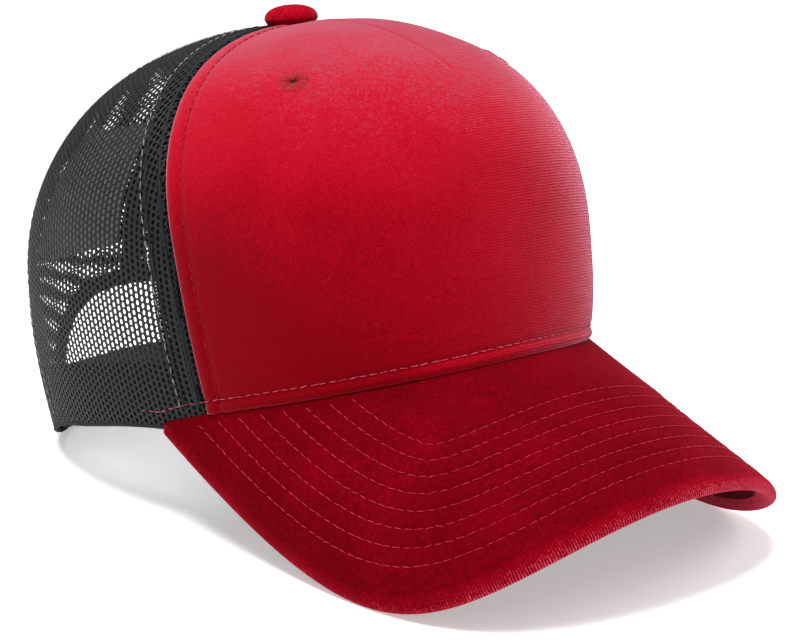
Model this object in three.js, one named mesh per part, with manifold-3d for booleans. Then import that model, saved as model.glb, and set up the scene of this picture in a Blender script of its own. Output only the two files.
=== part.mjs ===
// A five-panel trucker cap: a velvet front panel, four net panels, a curved quilted visor, a sweatband, seam
// tapes, a covered top button, and two plastic snap straps across a half-moon opening at the back.
// The cap is drawn in its own frame, with the hem level and the front facing -Y, and is then tipped nose-up
// into the position in which it rests on a table: on the two side lobes of the visor and on the back hem.
import * as THREE from 'three';
import { mergeVertices } from 'three/addons/utils/BufferGeometryUtils.js';
import Module from 'manifold-3d';

const wasm = await Module();
wasm.setup();

// ---- Driving dimensions, in millimetres and degrees ----

// Crown: plan at its widest level, top point, and profiles that differ at the front, side and back.
const halfWidth = 83.3;
const frontReach = 108;
const backReach = 101.5;
const planPower = 2.05;
const apexY = -5.5;
const apexZ = 125.4;
const profilePower = { front: 2.93, side: 2.15, back: 2.15 };
const wallHeight = { front: 8.7, side: 55.7, back: 24 };
const hemTuck = { front: 0, side: 0.082, back: 0 };
const hemSideLevel = -0.6;
const hemBackLevel = -12;
const cornerAngle = 78.3;
const hemFallAngle = 45;
const hemDrop = { from: 112, to: 150 };
const topHoleRadius = 4.6;

// Visor: a stiff sheet curved across its width, with straight rulings that run forwards and down.
const visorRootZ = 23.3;
const visorSlope = 27.5;
const visorBendRadius = 90.4;
const visorBendEase = -0.263;
const visorFlatLength = 72.2;
const visorCornerStep = 2.5;
const visorShoulder = { across: 113.4, forward: 35.5 };
const visorFrontHandle = 97.1;
const visorRootGap = 0.4;
const visorTop = 0.8;
const visorClothThickness = 1.2;
const visorBoardThickness = 1.8;
const boardMargin = 2.5;

// Panels and linings: depths are measured inwards from the outer face of the crown.
const frontSeam = { atHem: 67.8, slope: 8.7, curve: 5.4 };
const sideSeamAngle = 125;
const gap = 0.3;
const velvetThickness = 1.6;
const netThickness = 1.2;
const liningDepth = { outer: 2.1, inner: 2.9 };
const liningMargin = 6;
const tapeDepth = { outer: 2.0, inner: 2.6 };
const tapeWidth = 10;
const sweatbandDepth = { outer: 3.3, inner: 4.5 };
const sweatbandHeight = 20;

// Small round pieces on the crown.
const eyeletAngle = 45;
const eyeletHeight = 94;
const eyeletRadius = 3.4;
const eyeletHoleRadius = 0.9;
const buttonRadius = 8.5;
const buttonHeight = 5.6;
const postRadius = 1.4;
const washerRadius = 6.5;

// Back opening: a half-moon with a bound edge, and two plastic straps across its foot.
const openingHalfWidth = 38;
const openingHeight = 44;
const openingPower = 2.6;
const bindingWidth = 6;
const bindingDepth = { outer: -0.4, inner: 1.2 };
const strapHeight = 18;
const strapBottom = 3;
const strapThickness = 1.3;
const strapRootDepth = 1.6;
const strapSpread = 0.85;
const strapHingeX = 32;
const strapHingeGap = 0.6;
const strapEndX = 17;
const strapCornerRadius = 8;
const strapRootLength = 14;
const strapRootSlant = 2.2;
const snapPitch = 8;
const snapCount = 6;
const snapFirstX = 12;
const holeRadius = 2.75;
const studRadius = 1.9;
const studHeight = 1.8;

// Resting position: nose-up tilt, and the height of the cap's own origin above the table.
const restTilt = 7.25;
const restLift = 22.4;

// ---- Helpers ----

const radians = THREE.MathUtils.degToRad;
const lerp = THREE.MathUtils.lerp;

// A value that changes smoothly from front to side to back, round the crown.
function around(values, angle) {
  const front = Math.max(Math.cos(angle), 0) ** 2;
  const side = Math.sin(angle) ** 2;
  const back = Math.max(-Math.cos(angle), 0) ** 2;
  return values.front * front + values.side * side + values.back * back;
}

const signedPower = (value, power) => Math.sign(value) * Math.abs(value) ** power;

// Points from first to last, both included.
const steps = (first, last, count) =>
  Array.from({ length: count + 1 }, (_, i) => lerp(first, last, i / count));

// ---- Visor sheet ----

const slopeCos = Math.cos(radians(visorSlope));
const slopeSin = Math.sin(radians(visorSlope));

// Angle of the sheet's cross-section at a flat distance from the centre line.
const bendAngle = (across) => (across / visorBendRadius) * (1 - visorBendEase * (across / 100) ** 2);

// Cross-section: sideways place and drop at a flat distance from the centre line.
function section(across) {
  const count = 40;
  const step = Math.abs(across) / count;
  let x = 0;
  let drop = 0;
  for (let i = 0; i < count; i += 1) {
    const angle = bendAngle((i + 0.5) * step);
    x += Math.cos(angle) * step;
    drop += Math.sin(angle) * step;
  }
  return { x: Math.sign(across) * x, drop };
}

// Flat distance from the centre line at which the curved sheet reaches a sideways place.
function acrossAt(x) {
  let low = 0;
  let high = 125;
  for (let i = 0; i < 40; i += 1) {
    const middle = (low + high) / 2;
    if (section(middle).x < Math.abs(x)) low = middle;
    else high = middle;
  }
  return Math.sign(x) * low;
}

// A point of the visor, from its flat pattern place and its height above the sheet.
function visorPoint(across, forward, height = 0) {
  const { x, drop } = section(across);
  const angle = bendAngle(across);
  const point = new THREE.Vector3(
    x,
    -frontReach - forward * slopeCos + drop * slopeSin,
    visorRootZ - forward * slopeSin - drop * slopeCos,
  );
  const normal = new THREE.Vector3(
    Math.sin(angle),
    -Math.cos(angle) * slopeSin,
    Math.cos(angle) * slopeCos,
  );
  return point.addScaledVector(normal, height);
}

// Flat pattern place of the sheet point straight above or below a place in plan.
function flatPlace(x, y) {
  const across = acrossAt(x);
  const { drop } = section(across);
  return { across, forward: (-frontReach - y + drop * slopeSin) / slopeCos };
}

// ---- Crown surface ----

// Plan of the crown at its widest level.
function widestPlan(angle) {
  const sine = signedPower(Math.sin(angle), 2 / planPower);
  const cosine = signedPower(Math.cos(angle), 2 / planPower);
  return { x: halfWidth * sine, y: -(cosine > 0 ? frontReach : backReach) * cosine };
}

function scaledPlan(angle, scale) {
  const { x, y } = widestPlan(angle);
  return { x: x * scale, y: apexY + (y - apexY) * scale };
}

function sheetHeightAt(x, y) {
  const { across, forward } = flatPlace(x, y);
  return visorPoint(across, forward).z;
}

const hemPlan = (angle) => scaledPlan(angle, 1 - around(hemTuck, angle));

// The hem follows the visor sheet at the front, runs level at the side, and drops to the back opening.
function hemHeight(angle) {
  const corner = radians(cornerAngle);
  const fromFront = Math.acos(Math.cos(angle));
  const plan = hemPlan(Math.min(fromFront, corner));
  const onSheet = sheetHeightAt(plan.x, plan.y);
  const fall = THREE.MathUtils.smoothstep(fromFront - corner, 0, radians(hemFallAngle));
  const drop = THREE.MathUtils.smoothstep(fromFront, radians(hemDrop.from), radians(hemDrop.to));
  return lerp(lerp(onSheet, hemSideLevel, fall), hemBackLevel, drop);
}

// Outer face of the crown: angle 0 at the front, level 0 at the hem and 1 at the rim of the top hole.
function crownOuter(angle, level) {
  const power = around(profilePower, angle);
  const wall = around(wallHeight, angle);
  const widestZ = hemHeight(angle) + wall;
  const wallShare = wall / (wall + 150);
  if (level < wallShare) {
    const down = 1 - level / wallShare;
    const { x, y } = scaledPlan(angle, 1 - around(hemTuck, angle) * down ** 2);
    return new THREE.Vector3(x, y, widestZ - wall * down);
  }
  const rim = topHoleRadius / halfWidth;
  const lastTurn = Math.acos(rim ** (power / 2));
  const turn = ((level - wallShare) / (1 - wallShare)) * lastTurn;
  const { x, y } = scaledPlan(angle, Math.cos(turn) ** (2 / power));
  return new THREE.Vector3(x, y, widestZ + (apexZ - widestZ) * Math.sin(turn) ** (2 / power));
}

// A point at a depth inside the outer face.
function crownPoint(angle, level, depth = 0) {
  const nudge = 0.002;
  const sideways = crownOuter(angle + nudge, level).sub(crownOuter(angle - nudge, level));
  const upLevel = Math.min(level + nudge, 1);
  const downLevel = Math.max(level - nudge, 0);
  const upwards = crownOuter(angle, upLevel).sub(crownOuter(angle, downLevel));
  const outward = sideways.cross(upwards).normalize();
  return crownOuter(angle, level).addScaledVector(outward, -depth);
}

// Level at which the crown is a given height above its hem.
function levelAt(angle, height) {
  const power = around(profilePower, angle);
  const wall = around(wallHeight, angle);
  const wallShare = wall / (wall + 150);
  if (height < wall) return (wallShare * height) / wall;
  const widestZ = hemHeight(angle) + wall;
  const rise = Math.min((hemHeight(angle) + height - widestZ) / (apexZ - widestZ), 1);
  const lastTurn = Math.acos((topHoleRadius / halfWidth) ** (power / 2));
  return wallShare + ((1 - wallShare) * Math.asin(rise ** (power / 2))) / lastTurn;
}

// Angle at which the back wall reaches a sideways place.
function backAngle(x) {
  const fromBack = Math.asin(Math.min(Math.abs(x) / (halfWidth * (1 - hemTuck.back)), 1) ** (planPower / 2));
  return Math.PI - Math.sign(x) * fromBack;
}

// Clearance of the crown's lower edge above the visor.
function hemClearance(angle) {
  const past = THREE.MathUtils.smoothstep(Math.abs(angle), radians(cornerAngle + 1), radians(cornerAngle + 7));
  return gap * (1 - past);
}

// ---- Solids ----

// A closed solid between two grids of points with the same rows and columns.
function solidBetween(outer, inner) {
  const rows = outer.length;
  const columns = outer[0].length;
  const positions = [...outer.flat(), ...inner.flat()].flatMap((point) => point.toArray());
  const indices = [];
  const outerIndex = (row, column) => row * columns + column;
  const innerIndex = (row, column) => rows * columns + row * columns + column;
  const quad = (a, b, c, d) => indices.push(a, b, c, a, c, d);
  for (let r = 0; r < rows - 1; r += 1) {
    for (let c = 0; c < columns - 1; c += 1) {
      quad(outerIndex(r, c), outerIndex(r, c + 1), outerIndex(r + 1, c + 1), outerIndex(r + 1, c));
      quad(innerIndex(r, c), innerIndex(r + 1, c), innerIndex(r + 1, c + 1), innerIndex(r, c + 1));
    }
  }
  for (let c = 0; c < columns - 1; c += 1) {
    quad(innerIndex(0, c), innerIndex(0, c + 1), outerIndex(0, c + 1), outerIndex(0, c));
    quad(outerIndex(rows - 1, c), outerIndex(rows - 1, c + 1), innerIndex(rows - 1, c + 1), innerIndex(rows - 1, c));
  }
  for (let r = 0; r < rows - 1; r += 1) {
    quad(innerIndex(r + 1, 0), innerIndex(r, 0), outerIndex(r, 0), outerIndex(r + 1, 0));
    quad(outerIndex(r + 1, columns - 1), outerIndex(r, columns - 1), innerIndex(r, columns - 1), innerIndex(r + 1, columns - 1));
  }
  const geometry = new THREE.BufferGeometry();
  geometry.setAttribute('position', new THREE.Float32BufferAttribute(positions, 3));
  geometry.setIndex(indices);
  return facingOut(geometry);
}

// Turns every triangle over if the solid is inside out.
function facingOut(geometry) {
  const place = geometry.attributes.position;
  const index = geometry.index;
  const corner = (i) => new THREE.Vector3().fromBufferAttribute(place, index.getX(i));
  let volume = 0;
  for (let i = 0; i < index.count; i += 3) {
    volume += corner(i).dot(corner(i + 1).cross(corner(i + 2)));
  }
  if (volume < 0) {
    for (let i = 0; i < index.count; i += 3) {
      const first = index.getX(i);
      index.setX(i, index.getX(i + 2));
      index.setX(i + 2, first);
    }
  }
  return geometry;
}

function toManifold(geometry) {
  const bare = geometry.clone();
  bare.deleteAttribute('normal');
  bare.deleteAttribute('uv');
  const merged = mergeVertices(bare, 1e-4);
  return new wasm.Manifold(new wasm.Mesh({
    numProp: 3,
    vertProperties: new Float32Array(merged.attributes.position.array),
    triVerts: new Uint32Array(merged.index.array),
  }));
}

function toGeometry(solid) {
  const mesh = solid.getMesh();
  const geometry = new THREE.BufferGeometry();
  geometry.setAttribute('position', new THREE.Float32BufferAttribute(mesh.vertProperties, 3));
  geometry.setIndex(Array.from(mesh.triVerts));
  return geometry;
}

// Cuts solids out of a geometry.
const cut = (geometry, tools) =>
  toGeometry(tools.reduce((solid, tool) => solid.subtract(toManifold(tool)), toManifold(geometry)));

// Joins solids to a geometry.
const join = (geometry, extras) =>
  toGeometry(extras.reduce((solid, extra) => solid.add(toManifold(extra)), toManifold(geometry)));

// A turned piece, from a profile of [radius, height] corners, standing on a point along a direction.
function turned(profile, base, direction, sides = 24) {
  const points = profile.map(([radius, height]) => new THREE.Vector2(radius, height));
  const geometry = new THREE.LatheGeometry(points, sides);
  const turn = new THREE.Quaternion().setFromUnitVectors(new THREE.Vector3(0, 1, 0), direction);
  geometry.applyQuaternion(turn);
  geometry.translate(base.x, base.y, base.z);
  geometry.deleteAttribute('normal');
  geometry.deleteAttribute('uv');
  return facingOut(mergeVertices(geometry, 1e-4));
}

// ---- Crown panels ----

const levelCount = 14;

// Half the gap between neighbours, as an angle, so that the gap keeps its width towards the top.
function gapAngle(level, width = gap) {
  const radius = Math.max(crownOuter(Math.PI / 2, level).x, topHoleRadius);
  return width / 2 / radius;
}

const frontSeamAngle = (level) => radians(frontSeam.atHem + frontSeam.slope * level + frontSeam.curve * level ** 2);

// A wall of the crown between two side edges, above a lower edge, between two depths.
// left and right give an angle at a level; shares places the columns between them, 0 to 1.
function crownWall({ left, right, shares, lowHeight, highLevel = () => 1, depth }) {
  const grid = (layer) => shares.map((share) => {
    const hemAngle = lerp(left(0), right(0), share);
    const low = levelAt(hemAngle, lowHeight(hemAngle, share));
    return steps(0, 1, levelCount).map((part) => {
      const level = lerp(low, highLevel(hemAngle), part);
      return crownPoint(lerp(left(level), right(level), share), level, depth[layer]);
    });
  });
  return solidBetween(grid('outer'), grid('inner'));
}

function frontPanel() {
  const edge = (side) => (level) => side * (frontSeamAngle(level) - gapAngle(level));
  const panel = crownWall({
    left: edge(-1),
    right: edge(1),
    shares: steps(0, 1, 20),
    lowHeight: hemClearance,
    depth: { outer: 0, inner: velvetThickness },
  });
  return cut(panel, [-1, 1].map((side) => eyeletDrill(side)));
}

function frontLining() {
  const margin = (level) => gapAngle(level, 2 * liningMargin);
  const edge = (side) => (level) => side * Math.max(frontSeamAngle(level) - margin(level), 0.3);
  const lining = crownWall({
    left: edge(-1),
    right: edge(1),
    shares: steps(0, 1, 20),
    lowHeight: (angle) => hemClearance(angle) + 0.4,
    highLevel: () => 0.93,
    depth: liningDepth,
  });
  return cut(lining, [-1, 1].map((side) => eyeletDrill(side)));
}

function sideMesh(side) {
  return crownWall({
    left: (level) => side * (frontSeamAngle(level) + gapAngle(level)),
    right: (level) => side * (radians(sideSeamAngle) - gapAngle(level)),
    shares: steps(0, 1, 9),
    lowHeight: hemClearance,
    depth: { outer: 0, inner: netThickness },
  });
}

// Height above the hem of the half-moon, widened by a margin, at a sideways place.
function openingTop(x, margin) {
  const reach = Math.abs(x) / (openingHalfWidth + margin);
  if (reach >= 1) return 0;
  return (openingHeight + margin) * (1 - reach ** openingPower) ** (1 / openingPower);
}

// Sideways places round the half-moon from its foot to the centre line, closest together at the foot.
const openingColumns = (margin, count) =>
  steps(0, 90, count).map((turn) =>
    (openingHalfWidth + margin) * Math.max(Math.cos(radians(turn)), 0) ** (2 / openingPower));

function backMesh(side) {
  const margin = bindingWidth + 2 * gap;
  const first = radians(sideSeamAngle);
  const archAngles = openingColumns(margin, 8).map((x) => backAngle(x));
  const wallAngles = steps(first, archAngles[0], 5).slice(0, -1);
  const angles = [...wallAngles, ...archAngles];
  const shares = angles.map((angle) => (angle - first) / (Math.PI - first));
  const archPlaces = [...wallAngles.map(() => Infinity), ...openingColumns(margin, 8)];
  return crownWall({
    left: (level) => side * (first + gapAngle(level)),
    right: (level) => side * (Math.PI - gapAngle(level)),
    shares,
    lowHeight: (angle, share) => openingTop(archPlaces[shares.indexOf(share)], margin),
    depth: { outer: 0, inner: netThickness },
  });
}

// ---- Linings, tapes and binding ----

// A tape over the inside of a seam, from a lower height up to the rim of the top hole.
function seamTape(seamAngle, lowHeight) {
  const half = (level) => Math.min(gapAngle(level, tapeWidth), radians(24));
  return crownWall({
    left: (level) => seamAngle(level) - half(level),
    right: (level) => seamAngle(level) + half(level),
    shares: steps(0, 1, 2),
    lowHeight: (angle) => lowHeight(angle),
    highLevel: () => 0.95,
    depth: tapeDepth,
  });
}

const frontSeamTape = (side) =>
  seamTape((level) => side * frontSeamAngle(level), (angle) => hemClearance(angle) + 1);
const sideSeamTape = (side) => seamTape(() => side * radians(sideSeamAngle), () => 1);
const backSeamTape = () => seamTape(() => Math.PI, () => openingHeight + bindingWidth + 1);

function sweatband() {
  const end = backAngle(openingHalfWidth + 1);
  const angles = steps(-end, end, 46);
  const grid = (layer) => angles.map((angle) => [0, 0.5, 1].map((part) => {
    const bottom = hemClearance(angle) + 0.4;
    return crownPoint(angle, levelAt(angle, lerp(bottom, sweatbandHeight, part)), sweatbandDepth[layer]);
  }));
  return solidBetween(grid('outer'), grid('inner'));
}

// A folded tape round the edge of the half-moon, from one foot to the other.
function openingBinding() {
  const turns = steps(0, 180, 28);
  const point = (turn, margin, depth) => {
    const cosine = signedPower(Math.cos(radians(turn)), 2 / openingPower);
    const sine = Math.sin(radians(turn)) ** (2 / openingPower);
    const angle = backAngle((openingHalfWidth + margin) * cosine);
    return crownPoint(angle, levelAt(angle, 0.2 + (openingHeight + margin) * sine), depth);
  };
  const grid = (depth) => turns.map((turn) => [0, bindingWidth].map((margin) => point(turn, margin, depth)));
  return solidBetween(grid(bindingDepth.outer), grid(bindingDepth.inner));
}

// ---- Top button and eyelets ----

const up = new THREE.Vector3(0, 0, 1);

function topButton() {
  const base = new THREE.Vector3(0, apexY, apexZ + gap);
  const blindHole = postRadius + gap;
  const blindDepth = 3;
  const dome = steps(0, 90, 7).map((turn) => [
    buttonRadius * Math.cos(radians(turn)),
    1 + (buttonHeight - 1) * Math.sin(radians(turn)),
  ]);
  const profile = [[0, blindDepth], [blindHole, blindDepth], [blindHole, 0], [buttonRadius - 0.6, 0], ...dome];
  profile[profile.length - 1] = [0, buttonHeight];
  return turned(profile, base, up);
}

function buttonRivet() {
  const washerTop = -3.2;
  const washerThickness = 0.8;
  const postTop = 2.6;
  const base = new THREE.Vector3(0, apexY, apexZ + gap);
  return turned([
    [0, washerTop - washerThickness],
    [washerRadius, washerTop - washerThickness],
    [washerRadius, washerTop],
    [postRadius, washerTop],
    [postRadius, postTop],
    [0, postTop],
  ], base, up, 20);
}

// Centre and outward direction of an air hole.
function eyeletPlace(side) {
  const angle = side * radians(eyeletAngle);
  const level = levelAt(angle, eyeletHeight);
  const centre = crownPoint(angle, level);
  return { centre, outward: centre.clone().sub(crownPoint(angle, level, 1)).normalize() };
}

function eyeletDrill(side) {
  const { centre, outward } = eyeletPlace(side);
  const reach = 8;
  const radius = eyeletRadius + gap;
  return turned([[0, -reach], [radius, -reach], [radius, reach], [0, reach]], centre, outward, 20);
}

function eyelet(side) {
  const { centre, outward } = eyeletPlace(side);
  const proud = 0.5;
  const inside = -3;
  return turned([
    [eyeletHoleRadius, inside],
    [eyeletRadius, inside],
    [eyeletRadius, 0.1],
    [eyeletRadius - 1, proud],
    [eyeletHoleRadius + 0.4, proud],
    [eyeletHoleRadius, 0.2],
    [eyeletHoleRadius, inside],
  ], centre, outward, 20);
}

// ---- Visor ----

// Flat pattern of the visor's outer edge, from the wearer's right corner round to the left.
function visorEdge(margin, count) {
  const plan = hemPlan(radians(cornerAngle));
  const corner = flatPlace(plan.x, plan.y);
  const half = new THREE.CubicBezierCurve(
    new THREE.Vector2(corner.across + visorCornerStep, corner.forward),
    new THREE.Vector2(visorShoulder.across, visorShoulder.forward),
    new THREE.Vector2(visorFrontHandle, visorFlatLength),
    new THREE.Vector2(0, visorFlatLength),
  );
  return steps(-1, 1, count).map((share) => {
    const point = half.getPointAt(1 - Math.abs(share));
    const along = half.getTangentAt(1 - Math.abs(share));
    const side = share < 0 ? -1 : 1;
    return new THREE.Vector2(side * (point.x - along.y * margin), point.y + along.x * margin);
  });
}

// Flat pattern of the visor's inner edge, just clear of the hem.
function visorRoot(count) {
  const onHem = (share) => {
    const plan = hemPlan(radians(share * cornerAngle));
    const place = flatPlace(plan.x, plan.y);
    return new THREE.Vector2(place.across, place.forward);
  };
  const nudge = 0.01;
  return steps(-1, 1, count).map((share) => {
    const along = onHem(share + nudge).sub(onHem(share - nudge)).normalize();
    return onHem(share).add(new THREE.Vector2(-along.y, along.x).multiplyScalar(visorRootGap));
  });
}

// One layer of the visor, between two heights; margin draws its outer edge in.
function visorLayer(top, bottom, margin) {
  const count = 36;
  const outerEdge = visorEdge(margin, count);
  const innerEdge = visorRoot(count);
  const grid = (height) => outerEdge.map((edge, i) => steps(0, 1, 4).map((share) => {
    const flat = innerEdge[i].clone().lerp(edge, share);
    return visorPoint(flat.x, flat.y, height);
  }));
  return solidBetween(grid(top), grid(bottom));
}

const boardTop = visorTop - visorClothThickness - gap;
const underTop = boardTop - visorBoardThickness - gap;
const visorTopCloth = () => visorLayer(visorTop, visorTop - visorClothThickness, 0);
const visorBoard = () => visorLayer(boardTop, boardTop - visorBoardThickness, boardMargin);
const visorUnderCloth = () => visorLayer(underTop, underTop - visorClothThickness, 0);

// ---- Snap straps ----

// A point of a strap: sideways place, height above the hem, and depth inside the crown's outer face.
function strapPoint(x, height, depth) {
  const angle = backAngle(x);
  return crownPoint(angle, levelAt(angle, height), depth);
}

// Half the strap's height at a distance from its rounded end.
function strapHalfHeight(fromEnd) {
  const into = Math.max(strapCornerRadius - fromEnd, 0);
  return strapHeight / 2 - strapCornerRadius + Math.sqrt(strapCornerRadius ** 2 - into ** 2);
}

const strapMiddle = strapBottom + strapHeight / 2;

// Depth of a strap's outer face: both straps leave the hem at one depth and part to lie one over the other.
function strapDepth(fromHinge, outwards) {
  const parted = THREE.MathUtils.smoothstep(fromHinge, 2, 12);
  return strapRootDepth - outwards * strapSpread * parted;
}

// The free length of a strap that leaves the hem at one side; outwards is 1 for the outer strap, -1 for the inner.
function strapBlade(side, outwards) {
  const start = strapHingeX - strapHingeGap;
  const end = -strapEndX;
  const places = [...steps(start, end + strapCornerRadius, 14), end + 5, end + 2.5, end + 1, end + 0.2];
  const grid = (layer) => places.map((x) => [-1, 1].map((part) => {
    const depth = strapDepth(start - x, outwards) + layer * strapThickness;
    return strapPoint(side * x, strapMiddle + part * strapHalfHeight(x - end), depth);
  }));
  return solidBetween(grid(0), grid(1));
}

// Sideways places of the snaps of a strap that leaves the hem at one side.
const snapPlaces = (side) =>
  Array.from({ length: snapCount }, (_, i) => side * (i * snapPitch - snapFirstX));

function snapTool(x, depth, profile) {
  const outer = strapPoint(x, strapMiddle, depth);
  const outward = outer.clone().sub(strapPoint(x, strapMiddle, depth + 1)).normalize();
  return turned(profile, outer, outward, 16);
}

function snapStrapHoles() {
  const side = 1;
  const drills = snapPlaces(side).map((x) => snapTool(x, strapRootDepth - strapSpread, [
    [0, -4],
    [holeRadius, -4],
    [holeRadius, 3],
    [0, 3],
  ]));
  return cut(strapBlade(side, 1), drills);
}

function snapStrapStuds() {
  const side = -1;
  const studs = snapPlaces(side).map((x) => snapTool(x, strapRootDepth + strapSpread, [
    [0, -0.6],
    [studRadius - 0.3, -0.6],
    [studRadius - 0.3, studHeight - 0.9],
    [studRadius, studHeight - 0.5],
    [studRadius - 0.5, studHeight],
    [0, studHeight],
  ]));
  return join(strapBlade(side, -1), studs);
}

// The end of a strap that is sewn in behind the net, just past the line where the strap bends. Its free end
// slants back towards the top, which leaves room for the free length to swing out above the table.
function strapRoot(side) {
  const start = strapHingeX + strapHingeGap;
  const end = start + strapRootLength;
  const grid = (layer) => steps(0, 1, 4).map((along) => [0, 1].map((part) => {
    const x = lerp(start + part * strapRootSlant, end, along);
    return strapPoint(side * x, strapBottom + part * strapHeight, strapRootDepth + layer * strapThickness);
  }));
  return solidBetween(grid(0), grid(1));
}

// ---- Assembly ----

const cap = new THREE.Group();
const velvetRed = '#a80a26';
const netBlack = '#2a2b2d';
const bandBlack = '#1a1a1c';
const liningGrey = '#8f9296';
const plasticBlack = '#161617';
const boardWhite = '#d8d8d4';
const steelGrey = '#9a9ca0';

// The lowest fibres rest flat on the table, so what would reach below it is trimmed away.
function trimmedAtTable(geometry) {
  const reach = 600;
  const ground = new THREE.BoxGeometry(reach, reach, reach);
  ground.translate(0, 0, -reach / 2 - restLift);
  ground.rotateX(radians(restTilt));
  const solid = toManifold(geometry).subtract(toManifold(ground));
  return toGeometry(solid);
}

function add(name, geometry, color, roughness, metalness = 0) {
  geometry.computeVertexNormals();
  const material = new THREE.MeshStandardMaterial({ color, roughness, metalness });
  const mesh = new THREE.Mesh(geometry, material);
  mesh.name = name;
  cap.add(mesh);
}

add('front_panel', frontPanel(), velvetRed, 0.9);
add('front_lining', frontLining(), liningGrey, 0.9);
add('top_button', topButton(), velvetRed, 0.9);
add('button_rivet', buttonRivet(), steelGrey, 0.4, 0.8);
add('visor_top_cloth', trimmedAtTable(visorTopCloth()), velvetRed, 0.9);
add('visor_board', visorBoard(), boardWhite, 0.6);
add('visor_under_cloth', trimmedAtTable(visorUnderCloth()), velvetRed, 0.9);
add('sweatband', sweatband(), bandBlack, 0.9);
add('back_seam_tape', backSeamTape(), bandBlack, 0.9);
add('opening_binding', trimmedAtTable(openingBinding()), bandBlack, 0.9);
add('snap_strap_holes', snapStrapHoles(), plasticBlack, 0.4);
add('snap_strap_studs', snapStrapStuds(), plasticBlack, 0.4);
for (const [suffix, side] of [['right', -1], ['left', 1]]) {
  add(`side_mesh_${suffix}`, sideMesh(side), netBlack, 0.8);
  add(`back_mesh_${suffix}`, trimmedAtTable(backMesh(side)), netBlack, 0.8);
  add(`front_seam_tape_${suffix}`, frontSeamTape(side), bandBlack, 0.9);
  add(`side_seam_tape_${suffix}`, sideSeamTape(side), bandBlack, 0.9);
  add(`eyelet_${suffix}`, eyelet(side), velvetRed, 0.9);
  add(`strap_root_${suffix}`, strapRoot(side), plasticBlack, 0.4);
}

cap.rotation.x = -radians(restTilt);
cap.position.z = restLift;
const group = new THREE.Group();
group.add(cap);
group.updateMatrixWorld(true);
const box = new THREE.Box3().setFromObject(group, true);
cap.position.y = -(box.min.y + box.max.y) / 2;
group.updateMatrixWorld(true);

export default group;
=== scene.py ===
"""Looks of the trucker cap: velvet front and visor, open black net, stitching, straps, stage and camera.

Lengths are in millimetres and angles in degrees, in the cap's own frame: hem level, front facing -Y. MM and
to_row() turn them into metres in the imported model's frame, where the cap rests tipped nose-up on the floor.
"""
import math
from functools import reduce

import bpy
import numpy as np
from mathutils import Matrix, Vector


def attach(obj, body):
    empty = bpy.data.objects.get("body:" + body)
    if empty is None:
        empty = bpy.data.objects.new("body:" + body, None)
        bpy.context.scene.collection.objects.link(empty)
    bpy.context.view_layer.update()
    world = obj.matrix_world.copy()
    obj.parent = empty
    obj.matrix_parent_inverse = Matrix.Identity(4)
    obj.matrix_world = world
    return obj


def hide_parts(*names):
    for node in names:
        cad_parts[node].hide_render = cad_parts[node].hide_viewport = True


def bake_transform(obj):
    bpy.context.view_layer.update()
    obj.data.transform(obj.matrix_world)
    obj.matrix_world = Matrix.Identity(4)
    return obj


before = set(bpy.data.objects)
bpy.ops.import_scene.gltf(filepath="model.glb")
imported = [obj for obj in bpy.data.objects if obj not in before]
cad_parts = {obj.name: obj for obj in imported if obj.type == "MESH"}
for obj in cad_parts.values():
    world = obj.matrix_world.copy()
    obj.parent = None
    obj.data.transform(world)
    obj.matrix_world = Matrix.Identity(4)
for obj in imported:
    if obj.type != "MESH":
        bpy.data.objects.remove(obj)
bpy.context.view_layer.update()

MM = 0.001

# Crown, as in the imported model
HALF_WIDTH = 83.3
FRONT_REACH = 108.0
BACK_REACH = 101.5
PLAN_POWER = 2.05
APEX_Y = -5.5
APEX_Z = 125.4
PROFILE_POWER = (2.93, 2.15, 2.15)
WALL_HEIGHT = (8.7, 55.7, 24.0)
HEM_TUCK = (0.0, 0.082, 0.0)
HEM_SIDE_LEVEL = -0.6
HEM_BACK_LEVEL = -12.0
CORNER_ANGLE = 78.3
HEM_FALL_ANGLE = 45.0
HEM_DROP = (112.0, 150.0)
TOP_HOLE_RADIUS = 4.6
CURVE_LENGTH = 150.0  # sets how the levels are shared between the wall and the curve above it
SIDES = (("right", -1), ("left", 1))

# Visor sheet
VISOR_ROOT_Z = 23.3
VISOR_SLOPE = 27.5
VISOR_BEND_RADIUS = 90.4
VISOR_BEND_EASE = -0.263
VISOR_LENGTH = 72.2
VISOR_CORNER_STEP = 2.5
VISOR_SHOULDER = (113.4, 35.5)
VISOR_FRONT_HANDLE = 97.1
VISOR_TOP = 0.8
VISOR_THICKNESS = 4.8
VISOR_RIM = 4.6

# Seams and layers; depths run inwards from the crown's outer face
FRONT_SEAM = (67.8, 8.7, 5.4)
SIDE_SEAM = math.radians(125.0)
VELVET_DEPTH = 1.6
TOP_SWELL = 1.2
NET_DEPTH = 0.35
LINING_DEPTH = (2.1, 2.9)
TAPE_DEPTH = (2.0, 2.5)
SWEATBAND_DEPTH = (3.2, 4.5)
SWEATBAND_HEIGHT = 20.0

EYELET_ANGLE = 45.0
EYELET_HEIGHT = 94.0

# Back opening and straps
OPENING_HALF_WIDTH = 38.0
OPENING_HEIGHT = 44.0
OPENING_POWER = 2.6
BINDING_WIDTH = 6.0
STRAP_HEIGHT = 18.0
STRAP_MIDDLE = 12.0
STRAP_THICKNESS = 1.3
STRAP_ROOT_DEPTH = 1.6
STRAP_SPREAD = 0.85
STRAP_HINGE_X = 32.0
STRAP_END_X = 17.0
STRAP_CORNER = 8.0
STRAP_ROOT_LENGTH = 14.0
SNAP_PITCH = 8.0
SNAP_COUNT = 6
SNAP_FIRST_X = 12.0

# Resting position
REST_TILT = math.radians(7.25)
REST_SHIFT_Y = 34.14
REST_LIFT = 22.4

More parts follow.
